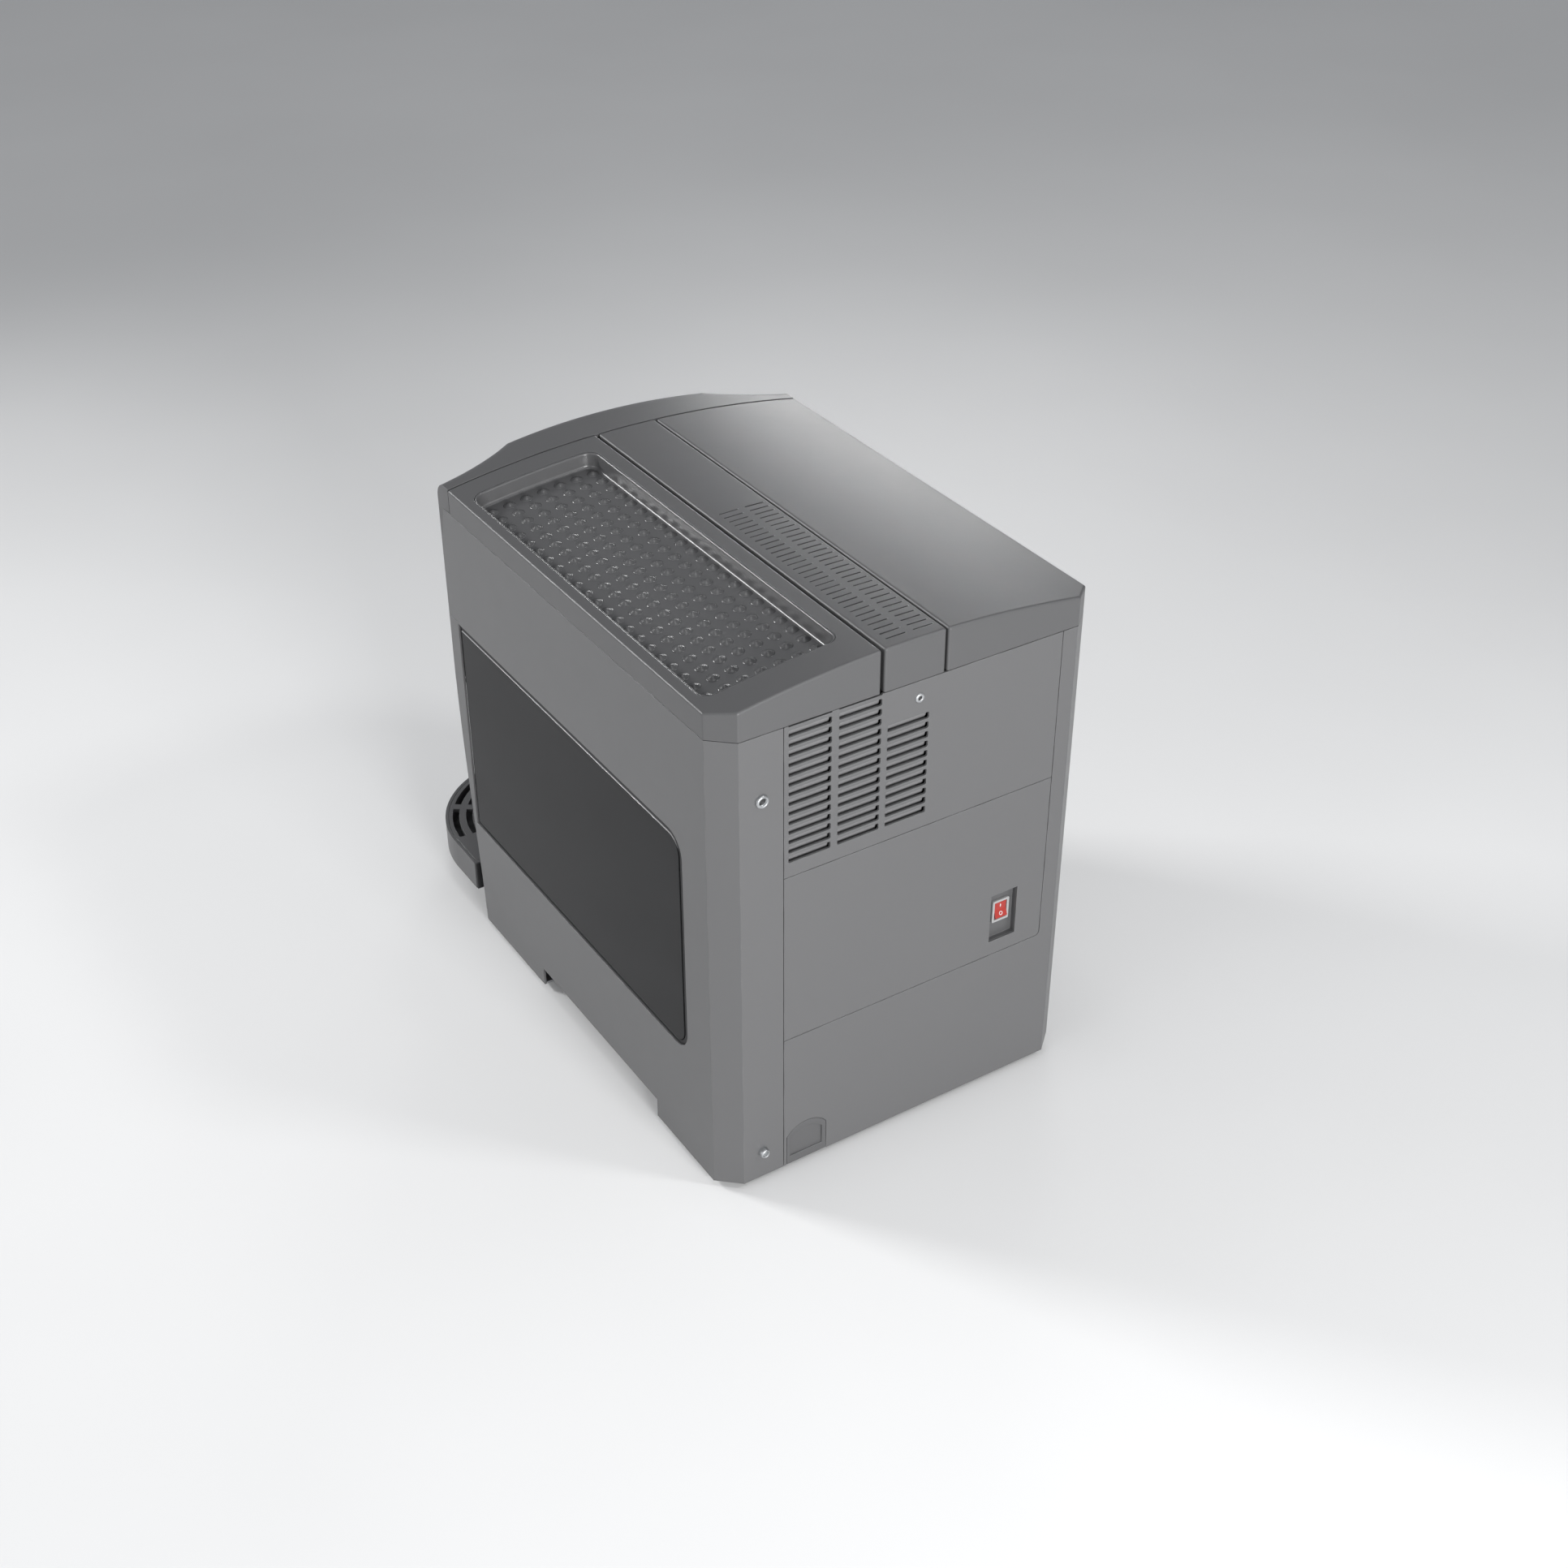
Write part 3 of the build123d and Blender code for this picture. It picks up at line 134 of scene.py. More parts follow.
def coated(
    name, colour, rough=0.45, grain=900.0, depth=0.00003, drift=0.06, wear_and_highlight=0.25, metallic=0.0,
    radius=0.0008, patch=9.0, stretch=(1.0, 1.0, 1.0), sheen_drift=0.04,
):
    """Powder coat, moulded plastic or plated metal: grain bump, uneven tone, edges lightened partly as rubbed
    wear and partly as a painted highlight.
    """
    made = Finish(name).set(Metallic=metallic)
    rounded = made.round_edges(radius) if radius else None
    fine = made.noise(grain, 2.0, stretch=stretch)
    broad = made.noise(patch, 4.0)
    mid = made.noise(patch * 9, 3.0)
    tone = made.blend(
        made.span(broad, 0.35, 0.65, 0.0, 1.0), shade(colour, 1 - drift), shade(colour, 1 + drift)
    )
    speck = made.blend(made.span(fine, 0.55, 0.75, 0.0, 0.35), tone, shade(colour, 1.25))
    # Rounded edges are lightened towards 1.9 times the colour: partly rubbed wear, partly a painted highlight.
    # Without rounding, random patches are lightened a little.
    if radius:
        wear_and_highlight_mask = made.times(made.edge_mask(rounded), made.span(mid, 0.42, 0.6, 0.0, wear_and_highlight))
    else:
        wear_and_highlight_mask = made.span(mid, 0.55, 0.8, 0.0, wear_and_highlight * 0.3)
    made.link(made.blend(wear_and_highlight_mask, speck, shade(colour, 1.9)), "Base Color")
    made.link(made.span(mid, 0.3, 0.7, rough - sheen_drift, rough + sheen_drift), "Roughness")
    made.link(made.bump(fine, 0.55, depth, rounded), "Normal")
    return made.material


def clear(name, colour, rough, transmission=0.9, ior=1.49):
    """Transparent plastic: faint haze, wipe marks and slight waviness."""
    made = Finish(name).set(Transmission_Weight=transmission, IOR=ior)
    haze = made.noise(5.0, 5.0, stretch=(1.0, 1.0, 4.0))
    scratch = made.noise(160.0, 2.0, stretch=(1.0, 0.06, 1.0))
    made.link(made.blend(made.span(haze, 0.4, 0.65, 0.0, 1.0), colour, shade(colour, 1.25)), "Base Color")
    made.link(made.span(scratch, 0.45, 0.8, rough, rough + 0.09), "Roughness")
    made.link(made.bump(haze, 0.08, 0.0005), "Normal")
    return made.material


def smoked(name, colour, top_highlight_colour):
    """Dark pane: nearly opaque face, with the faces that point up painted pale as a painted highlight on the
    upper edge.
    """
    made = Finish(name).set(Transmission_Weight=0.3, IOR=1.49, Specular_IOR_Level=0.02)
    haze = made.noise(6.0, 4.0, stretch=(1.0, 1.0, 3.0))
    face = made.blend(made.span(haze, 0.4, 0.65, 0.0, 1.0), colour, shade(colour, 1.4))
    up = made.node("ShaderNodeSeparateXYZ", {"Vector": made.node("ShaderNodeNewGeometry").outputs["Normal"]})
    # Upward faces are blended to the pale colour: a painted highlight along the top edge of the pane.
    painted_top_highlight = made.span(up.outputs["Z"], 0.35, 0.8, 0.0, 1.0)
    made.link(made.blend(painted_top_highlight, face, top_highlight_colour), "Base Color")
    made.link(made.span(haze, 0.3, 0.7, 0.06, 0.13), "Roughness")
    made.link(made.bump(haze, 0.06, 0.0004), "Normal")
    return made.material


BODY_TONE = (0.098, 0.098, 0.100)
COVER_TONE = (0.078, 0.078, 0.080)
FINISHES = {
    # On the body and cover the high wear setting mostly paints highlight lines along the rounded edges.
    "body_grey": coated(
        "satin_powder_coat", BODY_TONE, rough=0.40, grain=1900, depth=0.00002, drift=0.01,
        wear_and_highlight=0.9, patch=4, sheen_drift=0.008,
    ),
    "cover_grey": coated(
        "moulded_grey_plastic", COVER_TONE, rough=0.40, grain=2600, depth=0.000015, drift=0.01,
        wear_and_highlight=0.9, patch=4, sheen_drift=0.008,
    ),
    "tray_metal": coated(
        "coated_tray", COVER_TONE, rough=0.30, grain=1600, depth=0.000003, drift=0.01,
        wear_and_highlight=0.0, radius=None, patch=5, sheen_drift=0.01,
    ),
    "black_plastic": coated(
        "black_moulding", (0.018, 0.018, 0.019), rough=0.5, grain=1600, depth=0.00005,
        wear_and_highlight=0.3,
    ),
    "zinc_steel": coated(
        "zinc_sheet", (0.42, 0.43, 0.44), rough=0.38, grain=260, depth=0.00001, drift=0.14,
        metallic=0.9, patch=60,
    ),
    "steel": coated(
        "brushed_steel", (0.55, 0.55, 0.56), rough=0.26, grain=700, depth=0.00001, metallic=1.0,
        stretch=(1.0, 1.0, 0.03), wear_and_highlight=0.1,
    ),
    "chrome_trim": coated(
        "bright_chrome", (0.66, 0.66, 0.68), rough=0.12, grain=500, depth=0.000004,
        metallic=1.0, wear_and_highlight=0.1,
    ),
    "brass": coated(
        "turned_brass", (0.52, 0.36, 0.14), rough=0.3, grain=900, depth=0.00001, metallic=1.0,
        patch=40,
    ),
    "rubber": coated(
        "matt_rubber", (0.02, 0.02, 0.021), rough=0.72, grain=1300, depth=0.00006, wear_and_highlight=0.2,
    ),
    "board_green": coated(
        "solder_mask", (0.012, 0.085, 0.035), rough=0.32, grain=420, depth=0.00003, wear_and_highlight=0.1,
        patch=90,
    ),
    "hose_white": coated(
        "silicone_hose", (0.62, 0.62, 0.58), rough=0.5, grain=600, depth=0.00002, wear_and_highlight=0.0,
    ),
    "red_rocker": coated(
        "red_switch_plastic", (0.30, 0.022, 0.016), rough=0.3, grain=1500, depth=0.00002,
        wear_and_highlight=0.3, radius=0.0005,
    ),
    "black_gloss": coated(
        "display_gloss", (0.006, 0.006, 0.008), rough=0.08, grain=30, depth=0.00002, wear_and_highlight=0.0,
    ),
    # The pale last colour is the painted highlight on the pane's upper edge.
    "smoked_clear": smoked("smoked_plastic", (0.010, 0.010, 0.011, 1.0), (0.62, 0.62, 0.63, 1.0)),
    "tank_clear": clear("tank_plastic", (0.55, 0.57, 0.6, 1.0), 0.09, transmission=0.9),
    "amber_clear": clear("amber_plastic", (0.42, 0.26, 0.13, 1.0), 0.1, transmission=0.85),
}
SLOT_OF = {row["node"]: row["material_slot"] for row in frame["record"]["subparts"]}
for name, piece in NODES.items():
    piece.data.materials.clear()
    piece.data.materials.append(FINISHES[SLOT_OF[name]])
BEZEL_GREY = coated(
    "pale_bezel_plastic", (0.30, 0.30, 0.30), rough=0.42, grain=1500, depth=0.00002,
    drift=0.03,
)
# Near-black finish for the discs set deep in the screw sockets: painted shade in the holes.
SOCKET_SHADE = coated(
    "socket_painted_shade", (0.012, 0.012, 0.013), rough=0.5, grain=900, depth=0.00002, wear_and_highlight=0.1,
)
PRINT_WHITE = coated(
    "printed_white", (0.62, 0.62, 0.62), rough=0.5, grain=1800, depth=0.00001, wear_and_highlight=0.1,
)
NODES["switch_housing"].data.materials[0] = BEZEL_GREY

# ---------------------------------------------------------------- piece helpers


def piece_from(name, verts, faces, body, slot, finish, smooth=True):
    mesh = bpy.data.meshes.new(name)
    mesh.from_pydata([Vector(v) * MM for v in verts], [], faces)
    shape = bmesh.new()
    shape.from_mesh(mesh)
    bmesh.ops.remove_doubles(shape, verts=shape.verts, dist=0.00001)
    bmesh.ops.recalc_face_normals(shape, faces=shape.faces)
    shape.to_mesh(mesh)
    shape.free()
    mesh.materials.append(finish)
    for face in mesh.polygons:
        face.use_smooth = smooth
    piece = bpy.data.objects.new(name, mesh)
    SCENE.collection.objects.link(piece)
    if body:
        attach(piece, body)
    return piece


def lathe(profile, centre, steps=32, along=(0, 1, 0)):
    """Verts and faces of a turned shape: profile rows are (radius, distance along the axis)."""
    axis = Vector(along)
    side = axis.orthogonal().normalized()
    other = axis.cross(side)
    verts, faces = [], []
    for radius, distance in profile:
        for step in range(steps):
            turn = 2 * math.pi * step / steps
            verts.append(
                tuple(
                    Vector(centre) + axis * distance
                    + (side * math.cos(turn) + other * math.sin(turn)) * radius
                )
            )
    for row in range(len(profile) - 1):
        for step in range(steps):
            after = (step + 1) % steps
            a, b = row * steps, (row + 1) * steps
            faces.append((a + step, a + after, b + after, b + step))
    return verts, faces


def joined(parts):
    verts, faces = [], []
    for more_verts, more_faces in parts:
        base = len(verts)
        verts += more_verts
        faces += [tuple(base + i for i in face) for face in more_faces]
    return verts, faces


def gathered(name, tree, sizes):
    """Runs a node tree with the given inputs and returns its result as a plain mesh."""
    piece = bpy.data.objects.new(name, bpy.data.meshes.new(name))
    SCENE.collection.objects.link(piece)
    maker = piece.modifiers.new("maker", "NODES")
    maker.node_group = tree
    for socket in tree.interface.items_tree:
        if socket.in_out == "INPUT":
            maker[socket.identifier] = sizes[socket.name]
    bpy.context.view_layer.update()
    seen = piece.evaluated_get(bpy.context.evaluated_depsgraph_get())
    plain = bpy.data.meshes.new_from_object(seen)
    piece.modifiers.clear()
    piece.data = plain
    plain.materials.clear()
    plain.materials.append(sizes["Finish"])
    bpy.data.objects.remove(sizes["Shape"])
    return piece


def box_mm(node):
    low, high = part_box(node)
    return [c / MM for c in low], [c / MM for c in high]


# ---------------------------------------------------------------- repeated domes on the arched roof

CROWN_RADIUS = 960.0
CROWN_TOP = box_mm("vent_cover")[1][2]


def crown_height(x):
    return CROWN_TOP - CROWN_RADIUS + math.sqrt(CROWN_RADIUS**2 - x**2)


def dome_tree():
    """Rows and columns of one shape, each standing on the roof barrel at a given depth below it."""
    tree = bpy.data.node_groups.new("domes_on_barrel", "GeometryNodeTree")
    inputs = (
        ("Shape", "NodeSocketObject"), ("Columns", "NodeSocketInt"), ("Rows", "NodeSocketInt"),
        ("Pitch Across", "NodeSocketFloat"), ("Pitch Along", "NodeSocketFloat"),
        ("Centre", "NodeSocketVector"), ("Barrel Radius", "NodeSocketFloat"), ("Finish", "NodeSocketMaterial"),
    )
    for title, kind in inputs:
        tree.interface.new_socket(title, in_out="INPUT", socket_type=kind)
    tree.interface.new_socket("Mesh", in_out="OUTPUT", socket_type="NodeSocketGeometry")

    def node(kind, links=None, **settings):
        made = tree.nodes.new(kind)
        for key, value in settings.items():
            setattr(made, key, value)
        for key, value in (links or {}).items():
            if isinstance(value, bpy.types.NodeSocket):
                tree.links.new(value, made.inputs[key])
            else:
                made.inputs[key].default_value = value
        return made

    def maths(operation, first, second=0.0):
        return node("ShaderNodeMath", {0: first, 1: second}, operation=operation).outputs[0]

    given = node("NodeGroupInput").outputs
    wide = maths("MULTIPLY", given["Pitch Across"], maths("SUBTRACT", given["Columns"], 1.0))
    long = maths("MULTIPLY", given["Pitch Along"], maths("SUBTRACT", given["Rows"], 1.0))
    grid = node(
        "GeometryNodeMeshGrid",
        {"Size X": wide, "Size Y": long, "Vertices X": given["Columns"], "Vertices Y": given["Rows"]},
    )
    moved = node("GeometryNodeSetPosition", {"Geometry": grid.outputs["Mesh"], "Offset": given["Centre"]})
    spot = node("ShaderNodeSeparateXYZ", {"Vector": node("GeometryNodeInputPosition").outputs["Position"]})
    radius = given["Barrel Radius"]
    under_root = maths("SUBTRACT", maths("MULTIPLY", radius, radius), maths("POWER", spot.outputs["X"], 2.0))
    sag = maths("SUBTRACT", maths("SQRT", under_root), radius)
    lift = node("ShaderNodeCombineXYZ", {"Z": sag})
    seated = node(
        "GeometryNodeSetPosition", {"Geometry": moved.outputs["Geometry"], "Offset": lift.outputs["Vector"]}
    )
    shape = node("GeometryNodeObjectInfo", {"Object": given["Shape"]})
    tilt = node("ShaderNodeCombineXYZ", {"Y": maths("ARCSINE", maths("DIVIDE", spot.outputs["X"], radius))})
    spread = node(
        "GeometryNodeInstanceOnPoints",
        {
            "Points": seated.outputs["Geometry"], "Instance": shape.outputs["Geometry"],
            "Rotation": tilt.outputs["Vector"],
        },
    )
    real = node("GeometryNodeRealizeInstances", {"Geometry": spread.outputs["Instances"]})
    painted = node(
        "GeometryNodeSetMaterial", {"Geometry": real.outputs["Geometry"], "Material": given["Finish"]}
    )
    smooth = node("GeometryNodeSetShadeSmooth", {"Geometry": painted.outputs["Geometry"]})
    node("NodeGroupOutput", {"Mesh": smooth.outputs["Geometry"]})
    return tree


DOMES = dome_tree()


def dome_rows(name, profile, steps, counts, pitch, centre, body, finish):
    """Repeats a turned shape over the roof; profile rows are (radius, height) in millimetres."""
    shape = piece_from(name + "_one", *lathe(profile, (0, 0, 0), steps, along=(0, 0, 1)), None, None, finish)
    piece = gathered(
        name, DOMES,
        {
            "Shape": shape, "Columns": counts[0], "Rows": counts[1], "Pitch Across": pitch[0] * MM,
            "Pitch Along": pitch[1] * MM, "Centre": tuple(c * MM for c in centre),
            "Barrel Radius": CROWN_RADIUS * MM, "Finish": finish,
        },
    )
    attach(piece, body)
    return piece


# ---------------------------------------------------------------- cup warmer tray

TRAY_LOW, TRAY_HIGH = box_mm("cup_tray")
TRAY_CORNER = 12.0
TRAY_DEEP = 14.0
TRAY_SHEET = 1.2
CORNER_STEPS = 8
SIDE_STEPS = 20


def tray_loop(inset, drop):
    """One closed line round the tray: front points by rising x, then rear points by falling x."""
    left, right = TRAY_LOW[0] + inset, TRAY_HIGH[0] - inset
    front, rear = TRAY_LOW[1] + inset, TRAY_HIGH[1] - inset
    radius = TRAY_CORNER - inset
    samples = [
        (left + radius - radius * math.cos(t), radius - radius * math.sin(t))
        for t in [math.pi / 2 * i / CORNER_STEPS for i in range(CORNER_STEPS + 1)]
    ]
    samples += [
        (left + radius + (right - left - 2 * radius) * i / SIDE_STEPS, 0.0) for i in range(1, SIDE_STEPS)
    ]
    samples += [(left + right - x, bow) for x, bow in reversed(samples[: CORNER_STEPS + 1])]
    fore = [(x, front + bow, crown_height(x) - drop) for x, bow in samples]
    aft = [(x, rear - bow, crown_height(x) - drop) for x, bow in reversed(samples)]
    return fore + aft


def pressed_tray():
    rim = [(0.0, 0.9), (0.15, 0.3), (0.6, 0.05), (1.2, 0.2), (1.7, 0.8), (1.9, 1.8), (2.0, 11.0), (2.4, 12.6)]
    rim += [(3.4, 13.6), (4.8, TRAY_DEEP)]
    loops = [tray_loop(inset, drop) for inset, drop in rim]
    verts = [spot for loop in loops for spot in loop]
    around = len(loops[0])
    faces = []
    for row in range(len(loops) - 1):
        for step in range(around):
            after = (step + 1) % around
            a, b = row * around, (row + 1) * around
            faces.append((a + step, a + after, b + after, b + step))
    base = (len(loops) - 1) * around
    for step in range(around // 2 - 1):
        faces.append((base + step, base + step + 1, base + around - 2 - step, base + around - 1 - step))
    tray = piece_from("pressed_tray", verts, faces, "housing", "tray_metal", FINISHES["tray_metal"])
    if sum(face.normal.z for face in tray.data.polygons) < 0:
        tray.data.flip_normals()
    sheet = tray.modifiers.new("sheet", "SOLIDIFY")
    sheet.thickness = TRAY_SHEET * MM
    sheet.offset = -1.0
    return tray


DOME_RADIUS = 5.4
DOME_HEIGHT = 2.3
DOME_RINGS = 5


def dome_profile():
    rows = [(0.02, DOME_HEIGHT)]
    for ring in range(1, DOME_RINGS + 1):
        share = ring / DOME_RINGS
        rows.append((DOME_RADIUS * share, DOME_HEIGHT * (0.5 + 0.5 * math.cos(math.pi * share))))
    return rows + [(DOME_RADIUS, -0.3)]


BUMP_COUNTS = (7, 22)
BUMP_PITCH = (15.9, 16.4)
BUMP_MIDDLE = (103.0, -4.0)
tray = pressed_tray()
domes = dome_rows(
    "tray_domes", dome_profile(), 14, BUMP_COUNTS, BUMP_PITCH,
    (*BUMP_MIDDLE, CROWN_TOP - TRAY_DEEP + 0.03), "housing", FINISHES["tray_metal"],
)
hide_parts("cup_tray")

# ---------------------------------------------------------------- pale pips at the ends of the fine slots: a painted highlight where the slot ends catch light

PIP_PROFILE = [(0.01, 0.28), (0.45, 0.2), (0.75, 0.0), (0.75, -0.4)]
SLOT_ROWS = 31
SLOT_PITCH = 7.81
SLOT_MIDDLE_Y = 89.0
PIP_SPREAD = 24.4
PIP_MIDDLE_X = -10.4
# Pale grey pips: a painted highlight where the ends of the fine slots catch light.
PIP_HIGHLIGHT_GREY = coated(
    "painted_slot_end_highlight", (0.17, 0.17, 0.173), rough=0.3, grain=1800, depth=0.00001, drift=0.03,
)
dome_rows(
    "slot_pips", PIP_PROFILE, 10, (2, SLOT_ROWS), (PIP_SPREAD, SLOT_PITCH),
    (PIP_MIDDLE_X, SLOT_MIDDLE_Y, CROWN_TOP), "housing", PIP_HIGHLIGHT_GREY,
)

# ---------------------------------------------------------------- vanes behind the vent slots


def stack_tree():
    """One shape repeated upwards at an even pitch."""
    tree = bpy.data.node_groups.new("upward_stack", "GeometryNodeTree")
    inputs = (
        ("Shape", "NodeSocketObject"), ("Count", "NodeSocketInt"), ("Start", "NodeSocketVector"),
        ("Step", "NodeSocketVector"), ("Finish", "NodeSocketMaterial"),
    )
    for title, kind in inputs:
        tree.interface.new_socket(title, in_out="INPUT", socket_type=kind)
    tree.interface.new_socket("Mesh", in_out="OUTPUT", socket_type="NodeSocketGeometry")
    add, link = tree.nodes.new, tree.links.new
    given = add("NodeGroupInput").outputs
    line = add("GeometryNodeMeshLine")
    link(given["Count"], line.inputs["Count"])
    link(given["Start"], line.inputs["Start Location"])
    link(given["Step"], line.inputs["Offset"])
    shape = add("GeometryNodeObjectInfo")
    link(given["Shape"], shape.inputs["Object"])
    spread = add("GeometryNodeInstanceOnPoints")
    link(line.outputs["Mesh"], spread.inputs["Points"])
    link(shape.outputs["Geometry"], spread.inputs["Instance"])
    real = add("GeometryNodeRealizeInstances")
    link(spread.outputs["Instances"], real.inputs["Geometry"])
    painted = add("GeometryNodeSetMaterial")
    link(real.outputs["Geometry"], painted.inputs["Geometry"])
    link(given["Finish"], painted.inputs["Material"])
    link(painted.outputs["Geometry"], add("NodeGroupOutput").inputs["Mesh"])
    return tree


STACK = stack_tree()
VENT_BOX = box_mm("vent_louvres")
VENT_PITCH = 8.6
SLOT_HEIGHT = 5.8
SLOT_LOW_Z = VENT_BOX[0][2]
VENT_COLUMNS = ((92.7, 37.6, 14), (48.7, 38.0, 14), (5.1, 38.0, 11))
VANE_BACK, VANE_FACE = VENT_BOX[0][1], VENT_BOX[1][1]
# The vanes are painted about twice as light as the body, as painted light inside the slots.
VANE_LIT_GREY = coated(
    "vane_painted_light", (0.21, 0.21, 0.213), rough=0.5, grain=1500, depth=0.00002, drift=0.03,
)


def vane(length):
    """A bent blade that falls inwards from the top of its slot to just below the slot's lower edge."""
    outline = [
        (VANE_FACE, SLOT_HEIGHT + 1.2), (VANE_FACE, SLOT_HEIGHT + 0.2), (VANE_FACE - 2.4, 3.0),
        (VANE_BACK + 0.9, -3.2), (VANE_BACK, -3.0), (VANE_FACE - 3.3, 3.4),
    ]
    half = length / 2 + 0.4
    verts = [(side * half, y, z) for side in (-1, 1) for y, z in outline]
    count = len(outline)
    faces = [(i, (i + 1) % count, count + (i + 1) % count, count + i) for i in range(count)]
    return verts, faces + [tuple(range(count)), tuple(range(count, 2 * count))]


for number, (x, length, rows) in enumerate(VENT_COLUMNS):
    blade = piece_from("one_vane", *vane(length), None, None, VANE_LIT_GREY, smooth=False)
    vanes = gathered(
        f"vent_vanes_{number + 1}", STACK,
        {
            "Shape": blade, "Count": rows, "Start": (x * MM, 0.0, SLOT_LOW_Z * MM),
            "Step": (0.0, 0.0, VENT_PITCH * MM), "Finish": VANE_LIT_GREY,
        },
    )
    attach(vanes, "housing")
    if number == 0:
        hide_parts("vent_louvres")

# ---------------------------------------------------------------- screws on the back

REAR_FACE = box_mm("rear_panel_middle")[1][1]
SCREWS = ((134.9, 379.7, 5.6, 2.6, 3.4), (136.0, 33.5, 4.4, 5.0, 2.6), (-4.4, 421.3, 4.0, 1.2, 1.9))


def socket_screw(x, z, head, height, socket):
    rows = [(head, -0.2), (head, height * 0.45), (head * 0.93, height * 0.8), (head * 0.8, height)]
    rows += [(socket * 1.12, height * 1.02), (socket, height * 0.94), (socket * 0.98, 0.3), (0.02, 0.1)]
    return lathe(rows, (x, REAR_FACE, z), 36)


heads = piece_from(
    "socket_screws", *joined([socket_screw(*row) for row in SCREWS]), "housing", "zinc_steel",
    FINISHES["zinc_steel"],
)
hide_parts("rear_screws")
# Each socket gets a black disc near its bottom as painted shade.
socket_shades = [
    lathe([(socket * 0.97, 0.5), (socket * 0.9, 0.62), (0.02, 0.62)], (x, REAR_FACE, z), 24)
    for x, z, head, height, socket in SCREWS
]
piece_from("screw_wells", *joined(socket_shades), "housing", "zinc_steel", SOCKET_SHADE)

# ---------------------------------------------------------------- printed marks on keys, display and rocker

PRINT_DEPTH = 0.12


def stroke(points, width, y, depth=PRINT_DEPTH):
    """A flat printed line in the XZ plane, standing a little proud of the face at y."""
    verts, faces = [], []
    for i, (x, z) in enumerate(points):
        before, after = points[max(i - 1, 0)], points[min(i + 1, len(points) - 1)]
        run = Vector((after[0] - before[0], after[1] - before[1])).normalized()
        side = Vector((-run.y, run.x)) * (width / 2)
        for sign in (-1, 1):
            for reach in (0.0, -depth):
                verts.append((x + sign * side.x, y + reach, z + sign * side.y))
    for i in range(len(points) - 1):
        a, b = 4 * i, 4 * i + 4
        for j, k in ((0, 1), (1, 3), (3, 2), (2, 0)):
            faces.append((a + j, a + k, b + k, b + j))
    last = 4 * (len(points) - 1)
    return verts, faces + [(0, 1, 3, 2), (last, last + 1, last + 3, last + 2)]


def arc(middle, radius, start, end, steps=20):
    turns = [math.radians(start + (end - start) * i / steps) for i in range(steps + 1)]
    return [(middle[0] + radius * math.cos(t), middle[1] + radius * math.sin(t)) for t in turns]


def cup_mark(x, z, size, y):
    bowl = [(x - 3 * size, z + 1.5 * size), (x - 2.2 * size, z - 2.2 * size)]
    bowl += [(x + 1.4 * size, z - 2.2 * size), (x + 2.2 * size, z + 1.5 * size), (x - 3 * size, z + 1.5 * size)]
    handle = arc((x + 2.1 * size, z - 0.2 * size), 1.2 * size, 70, -80)
    steam = [(x - 1.2 * size + 0.3 * size * math.sin(i), z + (2.4 + i * 0.35) * size) for i in range(6)]
    return [stroke(line, 0.5 * size, y) for line in (bowl, handle, steam)]


KEY_MIDDLES = {
    name: [(low + high) / 2 for low, high in zip(*box_mm("key_" + name))]
    for name in ("espresso", "coffee", "water", "power")
}
KEY_FACE = box_mm("key_power")[0][1] - 0.01


def key_mark(name, parts):
    piece_from("mark_" + name, *joined(parts), "key_" + name, "black_plastic", MARK_GREY, smooth=False)


MARK_GREY = coated(
    "printed_dark", (0.03, 0.03, 0.032), rough=0.5, grain=1500, depth=0.00001, radius=None,
    wear_and_highlight=0.1,
)
x, _, z = KEY_MIDDLES["espresso"]
key_mark("espresso", cup_mark(x, z - 1, 1.0, KEY_FACE))
x, _, z = KEY_MIDDLES["coffee"]
key_mark("coffee", cup_mark(x, z - 1.2, 1.45, KEY_FACE))
x, _, z = KEY_MIDDLES["water"]
drop = arc((x, z - 1.2), 2.4, 150, 390)
key_mark("water", [stroke([(x, z + 4.2)] + drop + [(x, z + 4.2)], 0.6, KEY_FACE)])
x, _, z = KEY_MIDDLES["power"]
ring_and_bar = (arc((x, z), 3.2, 125, 415), [(x, z + 0.4), (x, z + 4.4)])
key_mark("power", [stroke(line, 0.6, KEY_FACE) for line in ring_and_bar])

GLASS_LOW, GLASS_HIGH = box_mm("display_glass")
GLASS_Y = GLASS_LOW[1] - 0.02
GLASS_Z = (GLASS_LOW[2] + GLASS_HIGH[2]) / 2
SIGN_GLOW = coated(
    "display_sign", (0.55, 0.66, 0.72), rough=0.4, grain=900, depth=0.000005, radius=None,
    wear_and_highlight=0.0,
)
signs = cup_mark(0, GLASS_Z + 1, 2.6, GLASS_Y)
for column in range(4):
    signs.append(stroke(arc((-33 + column * 5.5, GLASS_Z - 14), 1.6, 0, 360), 0.7, GLASS_Y))
    level_x = 20 + column * 5
    signs.append(stroke([(level_x, GLASS_Z - 16), (level_x, GLASS_Z - 12 + column)], 2.2, GLASS_Y))
piece_from("display_signs", *joined(signs), "housing", "black_gloss", SIGN_GLOW, smooth=False)

ROCKER_LOW, ROCKER_HIGH = box_mm("switch_rocker")
ROCKER_MIDDLE = [(low + high) / 2 for low, high in zip(ROCKER_LOW, ROCKER_HIGH)]
ROCKER_REST = math.radians(9)
ROCKER_PIVOT_Y, ROCKER_PIVOT_Z = 209.0, 180.8
ROCKER_HALF_TILT = math.radians(11.9)
FACE_OUT, FACE_UP = 5.05, 3.7
BAR_TALL, BAR_LEAN = 4.0, 3.2


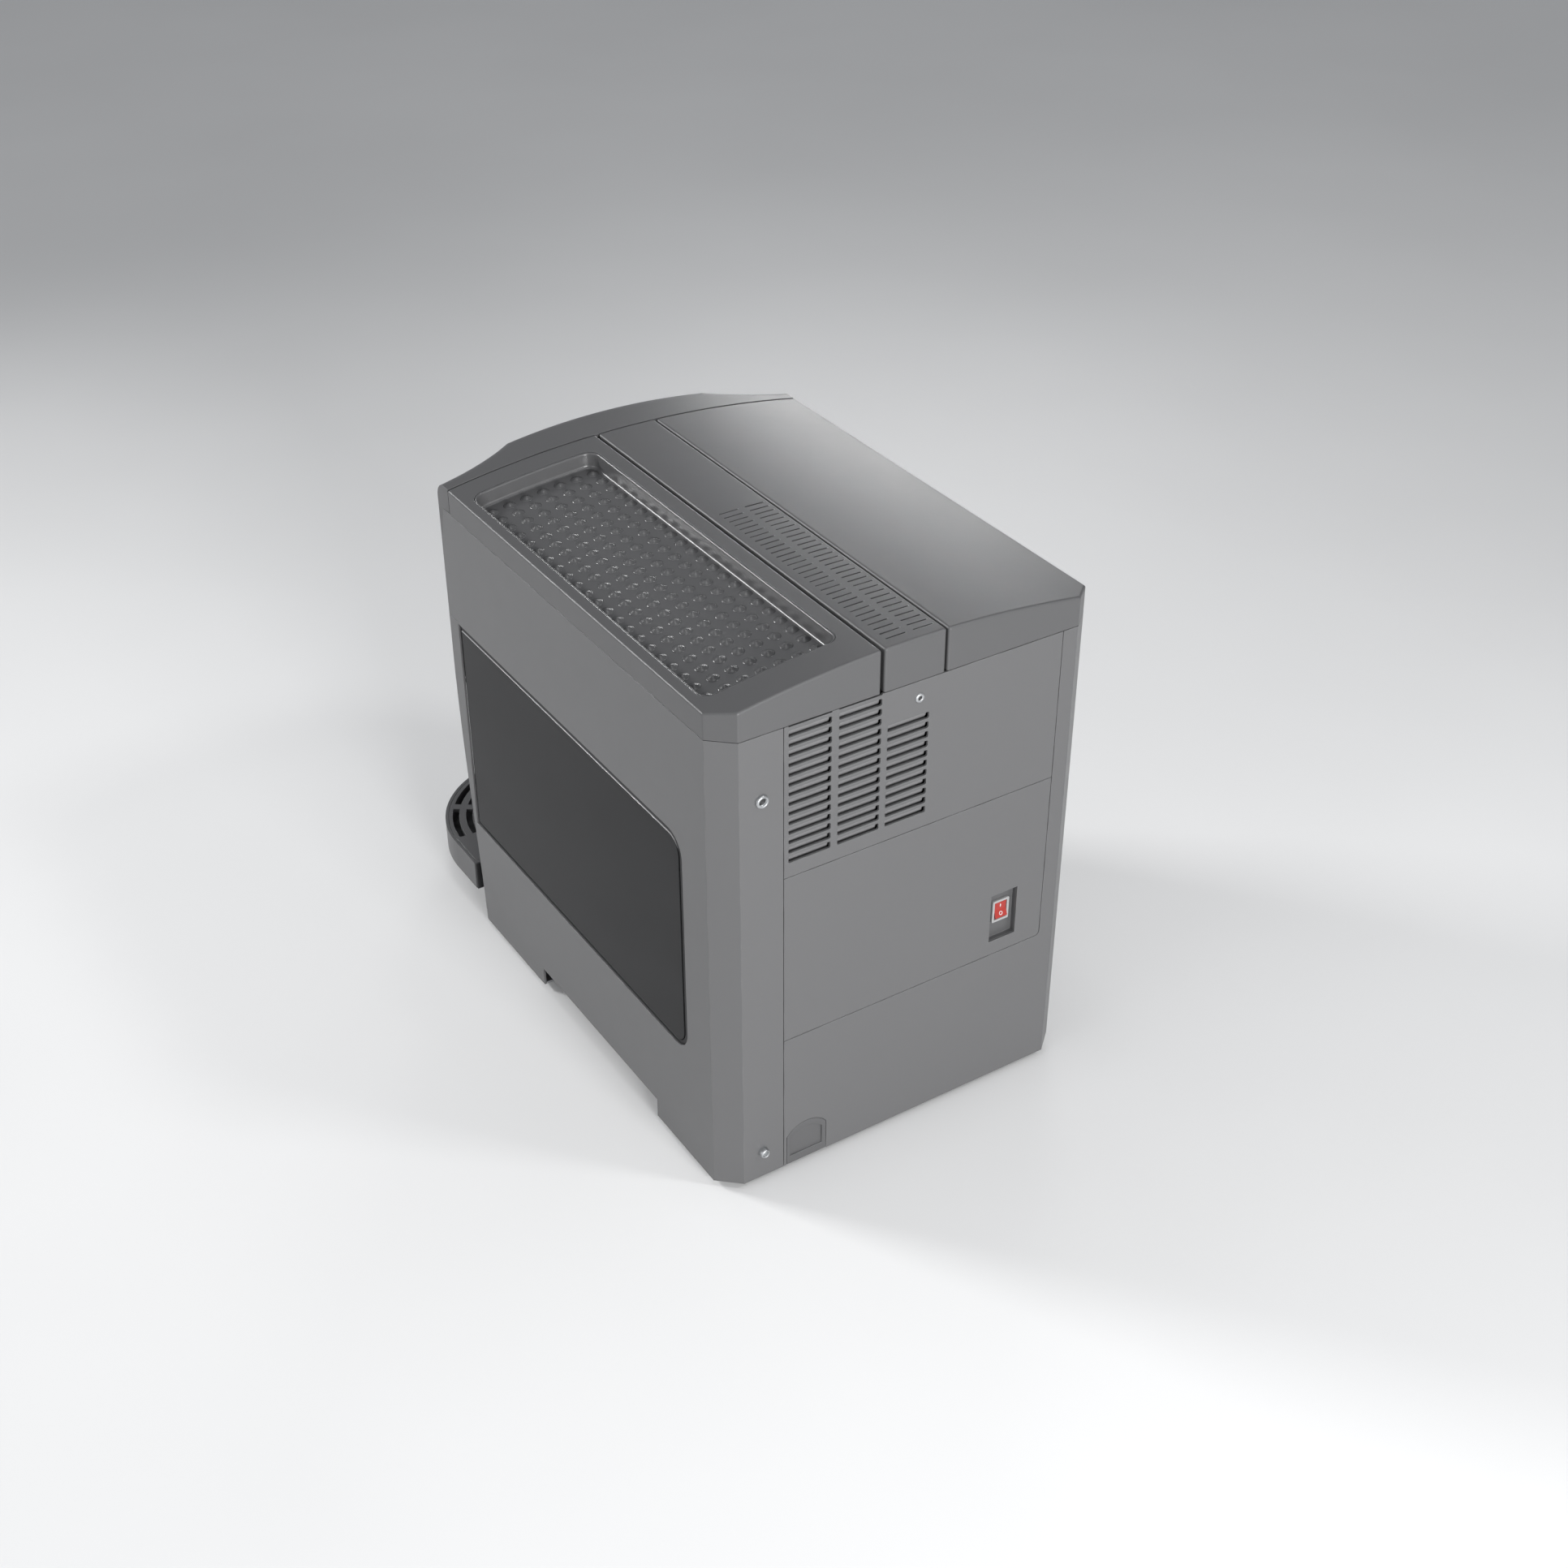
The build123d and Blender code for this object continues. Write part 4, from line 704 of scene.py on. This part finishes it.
def rocker_spot(up):
    """Middle of the upper or lower half of the rocker's face, and the way that half looks."""
    out, rise = FACE_OUT, FACE_UP * up
    turned = (
        out * math.cos(ROCKER_REST) - rise * math.sin(ROCKER_REST),
        out * math.sin(ROCKER_REST) + rise * math.cos(ROCKER_REST),
    )
    look = ROCKER_REST - up * ROCKER_HALF_TILT
    place = (ROCKER_MIDDLE[0], ROCKER_PIVOT_Y + turned[0], ROCKER_PIVOT_Z + turned[1])
    return place, (0.0, math.cos(look), math.sin(look))


spot, look = rocker_spot(-1)
ring = lathe([(1.7, -0.1), (1.7, 0.1), (1.2, 0.1), (1.2, -0.1)], spot, 24, along=look)
spot, look = rocker_spot(1)
bar = lathe([(0.45, -0.1), (0.45, 0.12), (0.01, 0.12)], spot, 12, along=look)
tall_bar = [
    (x, y + (z - spot[2]) * BAR_LEAN * -look[2], spot[2] + (z - spot[2]) * BAR_TALL) for x, y, z in bar[0]
]
piece_from("rocker_marks", *joined([ring, (tall_bar, bar[1])]), "switch_rocker", "red_rocker", PRINT_WHITE)

# ---------------------------------------------------------------- studio

FLOOR_HALF = 6.0


def studio_floor():
    mesh = bpy.data.meshes.new("studio_floor")
    grid = bmesh.new()
    bmesh.ops.create_grid(grid, x_segments=2, y_segments=2, size=FLOOR_HALF)
    grid.to_mesh(mesh)
    grid.free()
    floor = bpy.data.objects.new("studio_floor", mesh)
    SCENE.collection.objects.link(floor)
    made = Finish("pale_floor").set(Roughness=0.7)
    drift = made.noise(1.2, 3.0)
    made.link(
        made.blend(made.span(drift, 0.3, 0.7, 0.0, 1.0), (0.74, 0.74, 0.74, 1), (0.78, 0.78, 0.78, 1)),
        "Base Color",
    )
    mesh.materials.append(made.material)


def studio_light(name, place, aim, size, watts, spread):
    data = bpy.data.lights.new(name, "AREA")
    data.shape = "RECTANGLE"
    data.size, data.size_y = size
    data.energy = watts
    data.spread = math.radians(spread)
    lamp = bpy.data.objects.new(name, data)
    SCENE.collection.objects.link(lamp)
    lamp.location = place
    lamp.rotation_euler = (Vector(aim) - Vector(place)).to_track_quat("-Z", "Y").to_euler()


studio_floor()
studio_light("key_behind", (0.35, 3.0, 0.95), (0, 0.2, 0.25), (1.3, 1.0), 105, 180)
studio_light("right_side", (2.9, 0.5, 1.1), (0, 0, 0.2), (1.4, 1.0), 12, 180)
studio_light("far_rim", (-1.9, -2.2, 1.05), (-0.17, 0, 0.45), (0.9, 0.25), 1.3, 60)
studio_light("front_right", (1.9, -2.4, 1.75), (0.1, 0, 0.4), (0.7, 0.4), 13, 80)
studio_light("rear_left", (-1.6, 2.0, 2.9), (0, 0.1, 0.4), (0.5, 0.5), 6, 90)
studio_light("overhead", (0.2, 0.1, 3.2), (0, 0, 0.4), (0.5, 0.5), 7, 180)
sky = bpy.data.worlds.new("soft_sky")
sky.use_nodes = True
sky.node_tree.nodes["Background"].inputs["Color"].default_value = (0.80, 0.82, 0.85, 1)
sky.node_tree.nodes["Background"].inputs["Strength"].default_value = 0.42
SCENE.world = sky
SCENE.view_settings.view_transform = "Standard"

CAMERA_PLACE = (0.82094, 1.31897, 1.27482)
CAMERA_YAW = math.radians(32.65)
CAMERA_PITCH = math.radians(34.156)
CAMERA_LENS = 49.829
lens = bpy.data.cameras.new("camera")
lens.sensor_width = 36.0
lens.lens = CAMERA_LENS
camera = bpy.data.objects.new("camera", lens)
SCENE.collection.objects.link(camera)
camera.location = CAMERA_PLACE
gaze = Vector(
    (
        -math.sin(CAMERA_YAW) * math.cos(CAMERA_PITCH),
        -math.cos(CAMERA_YAW) * math.cos(CAMERA_PITCH),
        -math.sin(CAMERA_PITCH),
    )
)
camera.rotation_euler = gaze.to_track_quat("-Z", "Y").to_euler()
SCENE.camera = camera
